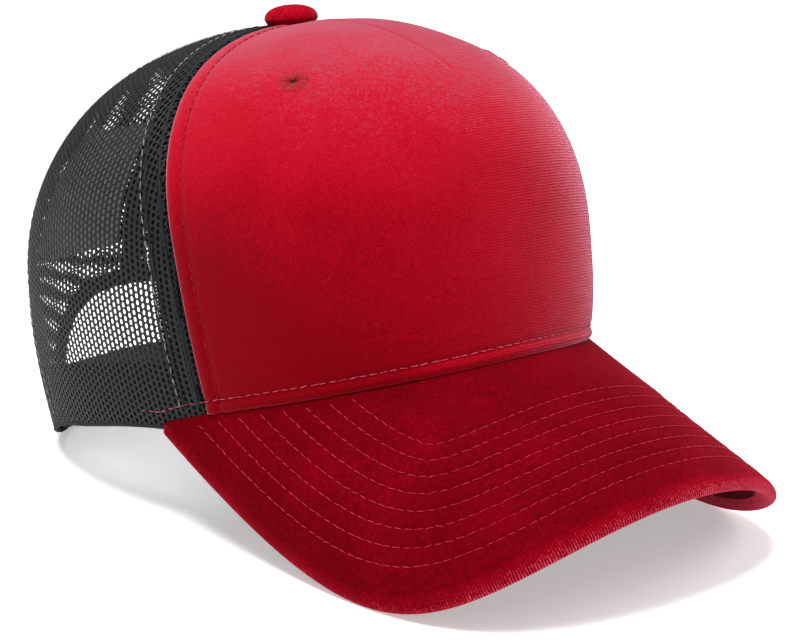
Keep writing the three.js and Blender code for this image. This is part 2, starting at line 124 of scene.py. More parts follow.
# Stage and lights, in metres, and the camera, placed round the cap in its own frame
AMBIENT = 0.33
FLOOR_SIZE = 30.0
FLOOR_SINK = 0.0002
FLOOR_GLOW = 0.4
LIGHTS = (("key", (-0.3, -0.05, 1.35), (0, 0, 0.05), 0.7, 32),
          ("side", (1.2, -0.45, 0.7), (0, 0, 0.08), 0.8, 9))
CAMERA_AZIMUTH = -41.1
CAMERA_ELEVATION = 9.3
CAMERA_ROLL = -3.9
CAMERA_DISTANCE = 824.4
CAMERA_ASIDE = 32.3
CAMERA_UP = 24.0
CAMERA_LENS = 110.4
CAMERA_SENSOR = 36.0
CAMERA_CLIP = (0.05, 100.0)


# ---- Frames ----

def to_row(points):
    """Points of the cap's own frame, in millimetres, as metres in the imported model's frame."""
    points = np.asarray(points, float)
    c, s = math.cos(REST_TILT), math.sin(REST_TILT)
    x, y, z = points[..., 0], points[..., 1], points[..., 2]
    return np.stack([x, y * c + z * s + REST_SHIFT_Y, -y * s + z * c + REST_LIFT], -1) * MM


def turn_to_row(direction):
    """A direction of the cap's own frame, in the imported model's frame."""
    c, s = math.cos(REST_TILT), math.sin(REST_TILT)
    x, y, z = direction
    return Vector((x, y * c + z * s, -y * s + z * c))


def unit(vectors):
    return vectors / np.maximum(np.linalg.norm(vectors, axis=-1, keepdims=True), 1e-9)


def smooth(value, low, high):
    t = np.clip((value - low) / (high - low), 0, 1)
    return t * t * (3 - 2 * t)


def bump(value, centre, width):
    """A rounded ridge of height 1."""
    return np.exp(-((value - centre) / width) ** 2)


def ridges(distance, shapes):
    """Sum of rounded ridges, each given by its place, width and height."""
    return sum(height * bump(distance, place, width) for place, width, height in shapes)


def arc_length(path):
    """Length along a path up to each of its points."""
    return np.concatenate([[0], np.cumsum(np.linalg.norm(np.diff(path, axis=0), axis=1))])


def even_path(path, count):
    """The same path with points at even distances."""
    arc = arc_length(path)
    wanted = np.linspace(0, arc[-1], count)
    return np.stack([np.interp(wanted, arc, path[:, k]) for k in range(path.shape[1])], -1)


def tangents(normal):
    """Two unit directions across a normal, the second pointing up."""
    across = unit(np.cross([0.0, 0.0, 1.0], normal))
    return across, np.cross(normal, across)


def spokes(turn, across, upwards):
    """Directions at turns round the circle that two unit directions span."""
    return np.cos(turn)[..., None] * across + np.sin(turn)[..., None] * upwards


def full_turn(count):
    """Angles evenly round a full turn."""
    return np.linspace(0, 2 * np.pi, count, endpoint=False)


# ---- Visor sheet ----

SLOPE = math.radians(VISOR_SLOPE)
FLAT_STEPS = np.linspace(0, 125, 1001)


def bend_angle(across):
    return across / VISOR_BEND_RADIUS * (1 - VISOR_BEND_EASE * (across / 100) ** 2)


def running_sum(rates, step):
    return np.concatenate([[0], np.cumsum((rates[1:] + rates[:-1]) / 2 * step)])


SECTION_X = running_sum(np.cos(bend_angle(FLAT_STEPS)), FLAT_STEPS[1])
SECTION_DROP = running_sum(np.sin(bend_angle(FLAT_STEPS)), FLAT_STEPS[1])
RISING = bend_angle(FLAT_STEPS) < math.pi / 2


def visor_point(across, forward, height=0.0):
    """Points of the visor from flat pattern places and heights above the sheet."""
    across, forward, height = np.broadcast_arrays(across, forward, height)
    x = np.sign(across) * np.interp(np.abs(across), FLAT_STEPS, SECTION_X)
    drop = np.interp(np.abs(across), FLAT_STEPS, SECTION_DROP)
    angle = bend_angle(across)
    c, s = math.cos(SLOPE), math.sin(SLOPE)
    place = np.stack([x, -FRONT_REACH - forward * c + drop * s, VISOR_ROOT_Z - forward * s - drop * c], -1)
    normal = np.stack([np.sin(angle), -np.cos(angle) * s, np.cos(angle) * c], -1)
    return place + normal * height[..., None]


def flat_place(x, y):
    """Flat pattern place of the sheet above or below a place in plan."""
    across = np.sign(x) * np.interp(np.abs(x), SECTION_X[RISING], FLAT_STEPS[RISING])
    drop = np.interp(np.abs(across), FLAT_STEPS, SECTION_DROP)
    return across, (-FRONT_REACH - y + drop * math.sin(SLOPE)) / math.cos(SLOPE)


# ---- Crown surface ----

def around(values, angle):
    """A value that changes smoothly from front to side to back."""
    c, s = np.cos(angle), np.sin(angle)
    return values[0] * np.maximum(c, 0) ** 2 + values[1] * s ** 2 + values[2] * np.maximum(-c, 0) ** 2


def signed_power(value, power):
    return np.sign(value) * np.abs(value) ** power


def scaled_plan(angle, scale):
    """Plan of the crown at its widest level, scaled about the top point."""
    sine = signed_power(np.sin(angle), 2 / PLAN_POWER)
    cosine = signed_power(np.cos(angle), 2 / PLAN_POWER)
    reach = np.where(cosine > 0, FRONT_REACH, BACK_REACH)
    return HALF_WIDTH * sine * scale, APEX_Y + (-reach * cosine - APEX_Y) * scale


def hem_plan(angle):
    return scaled_plan(angle, 1 - around(HEM_TUCK, angle))


def hem_height(angle):
    corner = math.radians(CORNER_ANGLE)
    from_front = np.arccos(np.cos(angle))
    across, forward = flat_place(*hem_plan(np.minimum(from_front, corner)))
    on_sheet = visor_point(across, forward)[..., 2]
    fall = smooth(from_front - corner, 0, math.radians(HEM_FALL_ANGLE))
    drop = smooth(from_front, *np.radians(HEM_DROP))
    level = on_sheet * (1 - fall) + HEM_SIDE_LEVEL * fall
    return level * (1 - drop) + HEM_BACK_LEVEL * drop


def meridian(angle):
    """The crown's profile at an angle: power, wall height, the wall's share of the levels, last turn."""
    power = around(PROFILE_POWER, angle)
    wall = around(WALL_HEIGHT, angle)
    last_turn = np.arccos((TOP_HOLE_RADIUS / HALF_WIDTH) ** (power / 2))
    return power, wall, wall / (wall + CURVE_LENGTH), last_turn


def crown_outer(angle, level):
    """Outer face: angle 0 at the front, level 0 at the hem and 1 at the rim of the top hole."""
    angle, level = np.broadcast_arrays(np.asarray(angle, float), np.asarray(level, float))
    power, wall, share, last_turn = meridian(angle)
    widest = hem_height(angle) + wall
    down = np.clip(1 - level / share, 0, 1)
    turn = np.clip((level - share) / (1 - share), 0, 1) * last_turn
    scale = np.where(level < share, 1 - around(HEM_TUCK, angle) * down ** 2, np.cos(turn) ** (2 / power))
    rise = np.sin(turn) ** (2 / power)
    z = np.where(level < share, widest - wall * down, widest + (APEX_Z - widest) * rise)
    x, y = scaled_plan(angle, scale)
    return np.stack([x, y, z], -1)


def crown_normal(angle, level):
    """Outward unit normal of the crown's outer face."""
    nudge = 0.002
    sideways = crown_outer(angle + nudge, level) - crown_outer(angle - nudge, level)
    level = np.asarray(level, float)
    above = crown_outer(angle, np.minimum(level + nudge, 1))
    below = crown_outer(angle, np.maximum(level - nudge, 0))
    return unit(np.cross(sideways, above - below))


def crown_point(angle, level, depth=0.0):
    """Points at depths inside the outer face."""
    depth = np.asarray(depth, float)
    return crown_outer(angle, level) - crown_normal(angle, level) * depth[..., None]


def crown_row(angle, level, depth, facing=1):
    """A row for stitches: points at a depth, and normals that face outwards, or inwards at -1."""
    return crown_point(angle, level, depth), facing * crown_normal(angle, level)


def level_at(angle, height):
    """Level at which the crown is a given height above its hem."""
    power, wall, share, last_turn = meridian(angle)
    hem = hem_height(angle)
    rise = np.clip((height - wall) / (APEX_Z - hem - wall), 0, 1)
    above = share + (1 - share) * np.arcsin(rise ** (power / 2)) / last_turn
    return np.where(height < wall, share * height / wall, np.minimum(above, 1))


def back_angle(x):
    """Angle at which the back wall reaches a sideways place."""
    from_back = np.arcsin(np.minimum(np.abs(x) / HALF_WIDTH, 1) ** (PLAN_POWER / 2))
    return np.pi - np.sign(x) * from_back


def front_seam_angle(level):
    return np.radians(FRONT_SEAM[0] + FRONT_SEAM[1] * level + FRONT_SEAM[2] * level ** 2)


def side_seam_angle(level):
    return SIDE_SEAM + 0 * np.asarray(level, float)


def back_seam_angle(level):
    return math.pi + 0 * np.asarray(level, float)


def ring_radius(angles, levels):
    """Distance of the crown's outer face from its upright axis."""
    points = crown_outer(angles, levels)
    return np.hypot(points[..., 0], points[..., 1] - APEX_Y)


def even_levels(angle, count, low=0.0, high=1.0):
    """Levels spaced evenly along the crown's meridian at one angle, and their arc lengths."""
    fine = np.linspace(low, high, 600)
    arc = arc_length(crown_outer(angle, fine))
    wanted = np.linspace(0, arc[-1], count)
    return np.interp(wanted, arc, fine), wanted


# ---- Meshes ----

def make_mesh(name, points, faces, material, uv, slot, body="cap", replaces=()):
    """A smooth mesh of triangles or quads from points of the cap's frame; uv is in millimetres."""
    faces = np.asarray(faces, np.int32)
    count, corners = faces.shape
    mesh = bpy.data.meshes.new(name)
    mesh.vertices.add(len(points))
    places = to_row(points)
    places[:, 2] = np.maximum(places[:, 2], 0)  # nothing sinks into the floor
    mesh.vertices.foreach_set("co", places.astype(np.float32).ravel())
    mesh.loops.add(count * corners)
    mesh.loops.foreach_set("vertex_index", faces.ravel())
    mesh.polygons.add(count)
    mesh.polygons.foreach_set("loop_start", np.arange(0, count * corners, corners, dtype=np.int32))
    mesh.polygons.foreach_set("use_smooth", np.ones(count, bool))
    layer = mesh.uv_layers.new(name="UVMap")
    layer.data.foreach_set("uv", np.asarray(uv, np.float32)[faces.ravel()].ravel())
    mesh.update(calc_edges=True)
    mesh.validate()
    obj = bpy.data.objects.new(name, mesh)
    bpy.context.scene.collection.objects.link(obj)
    mesh.materials.append(material)
    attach(obj, body)
    if replaces:
        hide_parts(*replaces)
    return obj


def grid_faces(rows, columns, start=0, flip=False, wrap=False):
    """Quads of a grid of points; wrap joins its last column to its first."""
    index = start + np.arange(rows * columns).reshape(rows, columns)
    if wrap:
        index = np.concatenate([index, index[:, :1]], 1)
    quads = np.stack([index[:-1, :-1], index[:-1, 1:], index[1:, 1:], index[1:, :-1]], -1).reshape(-1, 4)
    return quads[:, ::-1] if flip else quads


def grid_uv(rows, columns, row_step, column_step):
    """Millimetre coordinates of a grid's points: across its columns, then up its rows."""
    return np.stack([np.tile(np.arange(columns) * column_step, rows),
                     np.repeat(np.arange(rows) * row_step, columns)], -1)


def solid_between(outer, inner, uv):
    """A closed solid between two grids of points: its points, quads and uv."""
    rows, columns = outer.shape[:2]
    half = rows * columns
    index = np.arange(half).reshape(rows, columns)
    ring = np.concatenate([index[0, :-1], index[:-1, -1], index[-1, :0:-1], index[:0:-1, 0]])
    following = np.roll(ring, -1)
    rim = np.stack([following, ring, ring + half, following + half], -1)
    faces = np.concatenate([grid_faces(rows, columns), grid_faces(rows, columns, half, flip=True), rim])
    points = np.concatenate([outer.reshape(-1, 3), inner.reshape(-1, 3)])
    both = np.concatenate([uv.reshape(-1, 2), uv.reshape(-1, 2)])
    return points, outward(points, faces), both


def outward(points, faces):
    """Faces turned over if the closed solid is inside out."""
    a, b, c = points[faces[:, 0]], points[faces[:, 1]], points[faces[:, 2]]
    volume = np.einsum("ij,ij->i", a, np.cross(b, c)).sum()
    if faces.shape[1] == 4:
        volume += np.einsum("ij,ij->i", a, np.cross(c, points[faces[:, 3]])).sum()
    return faces[:, ::-1] if volume < 0 else faces


def wall_solid(name, angles, levels, outer_depth, inner_depth, material, **facts):
    """A closed layer of the crown on a grid of angles and levels, with depths for its two faces."""
    outer = crown_point(angles, levels, outer_depth)
    inner = crown_point(angles, levels, inner_depth)
    steps = np.linalg.norm(np.diff(outer, axis=1, prepend=outer[:, :1]), axis=2)
    across = np.cumsum(steps, 1)
    across -= across[:, -1:] / 2
    upwards = np.cumsum(np.linalg.norm(np.diff(outer, axis=0, prepend=outer[:1]), axis=2), 0)
    points, faces, uv = solid_between(outer, inner, np.stack([across, upwards], -1))
    return make_mesh(name, points, faces, material, uv, **facts)


def tube(path, radius, sides):
    """Points and quads of a tube along a path."""
    along = unit(np.gradient(path, axis=0))
    helper = np.where(np.abs(along[:, 2:]) > 0.9, [[1.0, 0, 0]], [[0, 0, 1.0]])
    side = unit(np.cross(along, helper))
    top = np.cross(side, along)
    turn = full_turn(sides)[None, :]
    points = path[:, None] + spokes(turn, side[:, None], top[:, None]) * radius
    return points.reshape(-1, 3), grid_faces(len(path), sides, wrap=True)


# ---- Stitches ----

STITCH_SIDES = 6
STITCH_RINGS = np.array([0.0, 0.07, 0.25, 0.5, 0.75, 0.93, 1.0])
STITCH_WANDER = 0.04  # spread of the stitches' places, as a share of their pitch
STITCH_YAW = 0.09  # spread of their directions

# Kinds of stitching: pitch, stitch length, thread radius, and how high the thread arches over the cloth
SEAM_STITCH = dict(pitch=3.4, length=2.7, radius=0.2, lift=0.22)
NET_STITCH = dict(SEAM_STITCH, length=2.6, radius=0.14)
FRONT_NET_STITCH = dict(NET_STITCH, pitch=3.6)
VISOR_SEAM_STITCH = dict(pitch=3.1, length=2.7, radius=0.16, lift=0.18)
QUILT_STITCH = dict(pitch=3.3, length=2.95, radius=0.15, lift=0.16)
TAPE_STITCH = dict(SEAM_STITCH, radius=0.15, lift=0.15)
BAND_STITCH = dict(SEAM_STITCH, pitch=3.0, length=2.4, radius=0.16)
BINDING_STITCH = dict(SEAM_STITCH, radius=0.17, lift=0.2)


def stitch_mesh(rows, pitch, length, radius, lift, seed):
    """Points and quads of thread stitches along rows of (points, outward normals)."""
    rng = np.random.default_rng(seed)
    turn = full_turn(STITCH_SIDES)[None, :]
    from_middle = np.abs(2 * STITCH_RINGS - 1)
    size = radius * np.clip(np.sin(np.pi * (0.12 + 0.76 * STITCH_RINGS)), 0.35, 1)
    arch = lift * (1 - from_middle ** 4) - radius * 0.9 * (from_middle > 0.95)
    all_points, all_faces, start = [], [], 0
    for path, normals in rows:
        arc = arc_length(path)
        for begin in np.arange(pitch * 0.3, arc[-1] - length, pitch):
            begin = begin + rng.normal(0, pitch * STITCH_WANDER)
            places = begin + STITCH_RINGS * length * rng.uniform(0.9, 1.05)
            centre = np.stack([np.interp(places, arc, path[:, k]) for k in range(3)], -1)
            normal = unit(np.stack([np.interp(places, arc, normals[:, k]) for k in range(3)], -1))
            side = unit(np.cross(unit(centre[-1:] - centre[:1]), normal))
            yaw = rng.normal(0, STITCH_YAW) * (STITCH_RINGS - 0.5) * length
            centre = centre + side * yaw[:, None] + normal * arch[:, None]
            skin = centre[:, None] + spokes(turn, side[:, None], normal[:, None]) * size[:, None, None]
            all_points.append(skin.reshape(-1, 3))
            all_faces.append(grid_faces(len(STITCH_RINGS), STITCH_SIDES, start, wrap=True))
            start += len(STITCH_RINGS) * STITCH_SIDES
    return np.concatenate(all_points), np.concatenate(all_faces)


def add_stitches(name, rows, material, slot, kind, seed=1):
    """One piece with the thread stitches of several rows."""
    points, faces = stitch_mesh(rows, seed=seed, **kind)
    return make_mesh(name, points, faces, material, points[:, :2] + points[:, 2:], slot=slot)


# ---- Materials ----

RIB_PITCH = 0.9
PALE_PILE_HIGHLIGHT = (0.7, 0.11, 0.17)
PALE_GLOW = (1.0, 0.36, 0.47)


class Nodes:
    """A short way to write a node material."""

    def __init__(self, name):
        self.material = bpy.data.materials.new(name)
        self.material.use_nodes = True
        self.tree = self.material.node_tree
        self.shader = self.tree.nodes["Principled BSDF"]

    def add(self, kind, **settings):
        node = self.tree.nodes.new("ShaderNode" + kind)
        for key, value in settings.items():
            setattr(node, key, value)
        return node

    def link(self, output, target):
        self.tree.links.new(output, target)

    def value(self, socket, value):
        """Sets a socket from a number or links it from another socket."""
        if isinstance(value, (int, float)):
            socket.default_value = value
        else:
            self.link(value, socket)

    def math(self, operation, a, b=0.0):
        node = self.add("Math", operation=operation)
        self.value(node.inputs[0], a)
        self.value(node.inputs[1], b)
        return node.outputs[0]

    def plus(self, *values):
        return reduce(lambda a, b: self.math("ADD", a, b), values)

    def times(self, *values):
        return reduce(lambda a, b: self.math("MULTIPLY", a, b), values)

    def uv(self):
        """The surface's own millimetre coordinates: across, then up."""
        return self.add("UVMap", uv_map="UVMap").outputs[0]

    def parts(self, vector):
        node = self.add("SeparateXYZ")
        self.link(vector, node.inputs[0])
        return node.outputs

    def noise(self, vector, scale, detail=2.0, roughness=0.5):
        node = self.add("TexNoise")
        self.link(vector, node.inputs["Vector"])
        node.inputs["Scale"].default_value = scale
        node.inputs["Detail"].default_value = detail
        node.inputs["Roughness"].default_value = roughness
        return node.outputs["Fac"]

    def wave(self, coordinate, pitch):
        """A sine along a millimetre coordinate, from 0 to 1."""
        sine = self.math("SINE", self.times(coordinate, 2 * math.pi / pitch))
        return self.plus(self.times(sine, 0.5), 0.5)

    def span(self, value, start, end):
        """How far a value has gone from start to end, from 0 to 1."""
        node = self.add("MapRange")
        self.link(value, node.inputs["Value"])
        node.inputs["From Min"].default_value = start
        node.inputs["From Max"].default_value = end
        return node.outputs["Result"]

    def colour(self, fac, *stops):
        """Colours the surface by a ramp of (position, colour) stops."""
        node = self.add("ValToRGB")
        elements = node.color_ramp.elements
        while len(elements) < len(stops):
            elements.new(0.5)
        for element, (position, colour) in zip(elements, stops):
            element.position = position
            element.color = (*colour, 1)
        self.link(fac, node.inputs[0])
        self.link(node.outputs[0], self.shader.inputs["Base Color"])

    def bump(self, height, distance):
        node = self.add("Bump")
        node.inputs["Strength"].default_value = 1.0
        node.inputs["Distance"].default_value = distance * MM
        self.link(height, node.inputs["Height"])
        self.link(node.outputs[0], self.shader.inputs["Normal"])

    def object_millimetres(self):
        coordinates = self.add("TexCoord")
        scaled = self.add("VectorMath", operation="SCALE")
        self.link(coordinates.outputs["Object"], scaled.inputs[0])
        scaled.inputs["Scale"].default_value = 1 / MM
        return scaled.outputs[0]

    def constants(self, **values):
        for key, value in values.items():
            self.shader.inputs[key.replace("_", " ")].default_value = value


def velvet(name, dark, mid, light, rib_share=0.5, sheen=0.5, soft=0.3, grain=0.64, painted_top_light=0.0, shade=0.0,
           lift=0.0, rim=0.0, highlight_tips=PALE_PILE_HIGHLIGHT, glow=PALE_GLOW, along_u=False):
    """Short-pile velvet with fine ribs, a grainy pile and a soft sheen.

    painted_top_light paints light towards the top of the crown, shade paints shade on the lower part of the
    wearer's right side and lift paints light on the lower middle and left, rim paints a highlight, broken by
    the fine ribs, on the last millimetres before v = 0, highlight_tips is the colour of lifted pile that
    these painted highlights reach and glow that of the sheen. The tone is a sum centred on 0.5.
    """
    n = Nodes(name)
    place = n.object_millimetres()
    x, _, z = n.parts(place)
    uv = n.uv()
    across, up, _ = n.parts(uv)
    wobble = n.times(n.noise(uv, 0.25), 0.7)
    rib = n.wave(n.plus(across if along_u else up, wobble), RIB_PITCH)
    rib_strength = n.plus(n.times(n.span(x, -25.0, 45.0), 0.88 * rib_share), 0.12 * rib_share)
    pile = n.noise(place, 1.9, 5.0, 0.75)
    brushed = n.noise(place, 0.045, 3.0)
    streak = n.noise(place, 0.6, 3.0, 0.6)
    at_rim = n.span(up, 5.5, 0.5)
    low = n.span(z, 115.0, 45.0)
    # Painted light and shade in the tone: lighter towards the top of the crown and on the lower middle and
    # left, darker low on the wearer's right side, and a painted highlight at the rim
    tone = n.plus(n.times(brushed, 0.16), n.times(streak, 0.2), n.times(pile, grain), 0.32 - 0.5 * grain,
                  n.times(n.plus(rib, -0.5), rib_strength, 0.2),
                  n.times(n.span(z, 104.0, 152.0), painted_top_light),
                  n.times(low, n.span(x, -5.0, -75.0), -shade),
                  n.times(low, n.span(x, -60.0, 10.0), lift),
                  n.times(at_rim, n.plus(n.times(rib, pile, 2.6 * rim), 0.5 * rim)))
    n.colour(tone, (0.36, dark), (0.5, mid), (0.66, light), (0.95, highlight_tips))
    rib_strength = n.plus(rib_strength, n.times(at_rim, rim * 3))
    n.bump(n.plus(n.times(rib, rib_strength), n.times(pile, 1.1 - rib_share)), 0.28)
    n.constants(Roughness=0.9, Sheen_Weight=sheen, Sheen_Roughness=soft, Specular_IOR_Level=0.01)
    n.shader.inputs["Sheen Tint"].default_value = (*glow, 1)
    return n.material


def thread(name, dark, light, sheen=0.03):
    """Twisted sewing thread."""
    n = Nodes(name)
    place = n.object_millimetres()
    n.colour(n.noise(place, 1.6, 3.0), (0.35, dark), (0.65, light))
    n.bump(n.noise(place, 5.0, 2.0), 0.1)
    n.constants(Roughness=0.6, Sheen_Weight=sheen, Specular_IOR_Level=0.05)
    return n.material


def net_yarn():
    """Black polyester yarn with a faint gloss along the strands."""
    n = Nodes("net_yarn")
    across, up, _ = n.parts(n.uv())
    twist = n.wave(n.plus(across, n.times(up, 0.6)), 0.32)
    fuzz = n.noise(n.object_millimetres(), 2.2, 4.0, 0.7)
    n.colour(fuzz, (0.3, (0.004, 0.0045, 0.005)), (0.7, (0.018, 0.0195, 0.021)))
    n.bump(n.plus(n.times(twist, 0.5), n.times(fuzz, 0.6)), 0.1)
    n.constants(Roughness=0.45, Specular_IOR_Level=0.14)
    return n.material


def woven(name, dark, light, pitch=0.5, diagonal=True):
    """Plain or twill woven cloth on millimetre coordinates."""
    n = Nodes(name)
    across, up, _ = n.parts(n.uv())
    slant = n.plus(across, up) if diagonal else across
    weave = n.times(n.wave(slant, pitch), n.wave(up, pitch * 0.8))
    fuzz = n.noise(n.object_millimetres(), 1.5, 4.0, 0.6)
    n.colour(n.plus(n.times(weave, 0.4), n.times(fuzz, 0.6)), (0.2, dark), (0.75, light))
    n.bump(n.plus(weave, n.times(fuzz, 0.4)), 0.12)
    n.constants(Roughness=0.85, Sheen_Weight=0.03, Specular_IOR_Level=0.1)
    return n.material


def moulded(name, colour, roughness=0.4):
    """Moulded plastic with a slight orange-peel skin and handling marks."""
    n = Nodes(name)
    place = n.object_millimetres()
    marks = n.noise(place, 0.12, 4.0, 0.6)
    n.colour(marks, (0.35, colour), (0.75, tuple(c * 1.5 + 0.004 for c in colour)))
    n.link(n.plus(n.times(marks, 0.2), roughness - 0.1), n.shader.inputs["Roughness"])
    n.bump(n.noise(place, 1.1, 3.0), 0.02)
    return n.material


def steel(name):
    """Brushed steel with fine marks."""
    n = Nodes(name)
    marks = n.noise(n.object_millimetres(), 0.9, 5.0, 0.7)
    n.colour(marks, (0.3, (0.42, 0.42, 0.43)), (0.7, (0.6, 0.6, 0.61)))
    n.constants(Metallic=1.0, Roughness=0.35)
    n.bump(marks, 0.02)
    return n.material


# Front velvet: painted light on the top and lower middle, painted shade low on the wearer's right side, and a
# pale pink for its painted highlights
VELVET = velvet("velvet_front", (0.17, 0.0, 0.003), (0.27, 0.0003, 0.006), (0.33, 0.003, 0.013),
                rib_share=0.8, sheen=0.88, soft=0.34, painted_top_light=0.24, shade=0.3, lift=0.19,
                highlight_tips=(0.19, 0.07, 0.11), glow=(1.0, 0.43, 0.57))
# Visor velvet: a darker copy of the front's, painted shade for the lesser light on the visor, partly its pile
# lying the other way; its rim carries a painted highlight
VISOR_VELVET = velvet("velvet_visor", (0.06, 0.0, 0.002), (0.12, 0.0002, 0.003), (0.24, 0.001, 0.008),
                      rib_share=0.06, sheen=0.5, soft=0.2, grain=0.45, rim=0.19, glow=(1.0, 0.07, 0.15),
                      along_u=True)
UNDER_VELVET = velvet("velvet_under", (0.04, 0.0, 0.002), (0.08, 0.0003, 0.003), (0.12, 0.001, 0.006),
                      rib_share=0.3, sheen=0.1)
BUTTON_VELVET = velvet("velvet_button", (0.12, 0.0, 0.003), (0.26, 0.001, 0.008), (0.42, 0.004, 0.018),
                       rib_share=1.0, sheen=0.3)
RED_THREAD = thread("red_thread", (0.32, 0.003, 0.014), (0.56, 0.026, 0.055))
SEAM_THREAD = thread("seam_thread", (0.15, 0.0, 0.004), (0.34, 0.006, 0.02))
PINK_THREAD = thread("pink_thread", (0.42, 0.02, 0.05), (0.66, 0.13, 0.18))
EYELET_SHADE = thread("eyelet_shade", (0.012, 0.0, 0.001), (0.04, 0.001, 0.003))
EYELET_THREAD = thread("eyelet_thread", (0.16, 0.0015, 0.005), (0.37, 0.011, 0.02), 0.12)
GREY_THREAD = thread("grey_thread", (0.16, 0.16, 0.16), (0.42, 0.41, 0.40))
DARK_THREAD = thread("dark_thread", (0.02, 0.02, 0.022), (0.06, 0.06, 0.065))
NET_YARN = net_yarn()
TAPE_CLOTH = woven("tape_cloth", (0.006, 0.006, 0.007), (0.03, 0.03, 0.032), 0.6)
BAND_CLOTH = woven("band_cloth", (0.006, 0.006, 0.007), (0.028, 0.028, 0.03), 0.55)
PATCH_CLOTH = woven("patch_cloth", (0.30, 0.305, 0.31), (0.42, 0.425, 0.43), 0.5, diagonal=False)
LINING_CLOTH = woven("lining_cloth", (0.16, 0.165, 0.175), (0.34, 0.35, 0.37), 0.7, diagonal=False)
STRAP_PLASTIC = moulded("strap_plastic", (0.010, 0.010, 0.011))
BOARD_PLASTIC = moulded("board_plastic", (0.62, 0.62, 0.58), 0.5)
RIVET_STEEL = steel("rivet_steel")


# ---- Front panel ----

# Relief along the front seam and the hem: place, width and depth of the stitch groove and the swell beside it
SEAM_RELIEF = ((5.0, 0.8, 0.28), (2.6, 1.3, -0.22))
HEM_RELIEF = ((5.4, 0.8, 0.55), (2.8, 1.3, -0.55))
DART_GROOVE = ((0.0, 0.7, 0.3),)
DART_SWELL = ((2.2, 1.2, -0.12),)
EYELET_RELIEF = ((0.0, 3.6, 0.35),)


def edge_roll(distance, width, depth):
    """How far a cloth edge turns inwards near a seam."""
    into = np.clip(1 - distance / width, 0, 1)
    return depth * (1 - np.sqrt(np.maximum(1 - into ** 2, 0)))


def front_grid(rows, columns, low=0.0, high=1.0, margin=0.0):
    """Angles and levels of a grid between the two front seams, short of them by a margin."""
    levels, _ = even_levels(0.0, rows, low, high)
    share = np.linspace(-1, 1, columns)[None, :]
    levels = levels[:, None] * np.ones_like(share)
    seam = front_seam_angle(levels)
    return share * (seam - margin / ring_radius(seam, levels)), levels


def eyelet_centre(side):
    angle = side * math.radians(EYELET_ANGLE)
    return angle, float(level_at(angle, EYELET_HEIGHT))


def front_panel():
    """The velvet panel: rolled into its seams, grooved along them, and gently uneven."""
    angles, levels = front_grid(300, 330)
    from_seam = (front_seam_angle(levels) - np.abs(angles)) * ring_radius(angles, levels)
    points = crown_outer(angles, levels)
    x, z = points[..., 0], points[..., 2]
    height = z - hem_height(angles)
    depth = edge_roll(from_seam, 1.6, 1.5) + ridges(from_seam, SEAM_RELIEF)
    depth += edge_roll(height, 2.0, 1.9) + ridges(height, HEM_RELIEF)
    depth += dart_depth(points)
    depth -= TOP_SWELL * smooth(levels, 0.72, 0.92) * smooth(from_seam, 3, 25)
    for _, side in SIDES:
        from_eyelet = np.linalg.norm(points - crown_outer(*eyelet_centre(side)), axis=-1)
        depth += ridges(from_eyelet, EYELET_RELIEF)
    depth += 0.16 * np.sin(x / 17 + z / 23) * np.sin(z / 13 + 1)
    depth += 0.10 * np.sin(x / 7.1 + 2) * np.sin(z / 9.3)
    wall_solid("front_panel_velvet", angles, levels, depth, np.maximum(depth + 0.8, VELVET_DEPTH), VELVET,
               slot="velvet_red", replaces=["front_panel"])


def dart_depth(points):
    """The short sewn dart that rounds the top of the front panel."""
    x, y, z = points[..., 0], points[..., 1], points[..., 2]
    along = smooth(z, 108, 113) * (1 - smooth(y, -22, -14))
    groove = ridges(x, DART_GROOVE) + ridges(np.abs(x), DART_SWELL)
    return groove * along


def seam_row(side, offset, levels, depth):
    """A row beside the front seam; a positive offset lies on the velvet."""
    angle = front_seam_angle(levels)
    angle = side * (angle - offset / ring_radius(angle, levels))
    return crown_row(angle, levels, depth)


# Rows beside the front seam, as offsets from it, and the two ridges of the seam fold as (offset, radius)
VELVET_ROW = 5.0
NET_ROW_OFFSET = -7.5
FOLD_RIDGES = ((-1.6, 0.5), (-6.2, 0.4))
RIDGE_DEPTH = 0.25
TOP_ROW_OFFSETS = (-3.4, 3.4)
VELVET_ROW_DEPTH = 0.22
NET_ROW_DEPTH = 0.1
VISOR_SEAM_DEPTH = 0.42
VISOR_SEAM_HEIGHT = 5.4
VISOR_SEAM_REACH = math.radians(84)


def front_stitching():
    """Stitch rows and fold ridges beside the front seams, and the row along the visor's seam."""
    levels, _ = even_levels(math.radians(70), 240, 0.02, 0.97)
    for suffix, side in SIDES:
        row = seam_row(side, VELVET_ROW, levels, VELVET_ROW_DEPTH)
        add_stitches(f"front_seam_stitching_{suffix}", [row], SEAM_THREAD, "thread_red", SEAM_STITCH,
                     3 + side)
        row = seam_row(side, NET_ROW_OFFSET, levels, NET_ROW_DEPTH)
        add_stitches(f"net_seam_stitching_{suffix}", [row], GREY_THREAD, "tape_black", FRONT_NET_STITCH,
                     5 + side)
        for offset, radius in FOLD_RIDGES:
            path, _ = seam_row(side, offset, levels, RIDGE_DEPTH)
            points, faces = tube(path, radius, 8)
            make_mesh(f"net_seam_ridge_{suffix}_{int(-offset)}", points, faces, NET_YARN,
                      grid_uv(len(path), 8, 0.8, 0.4), slot="net_black")
    angles = np.linspace(-VISOR_SEAM_REACH, VISOR_SEAM_REACH, 500)
    row = crown_row(angles, level_at(angles, VISOR_SEAM_HEIGHT), VISOR_SEAM_DEPTH)
    add_stitches("visor_seam_stitching", [row], PINK_THREAD, "thread_red", VISOR_SEAM_STITCH, 9)


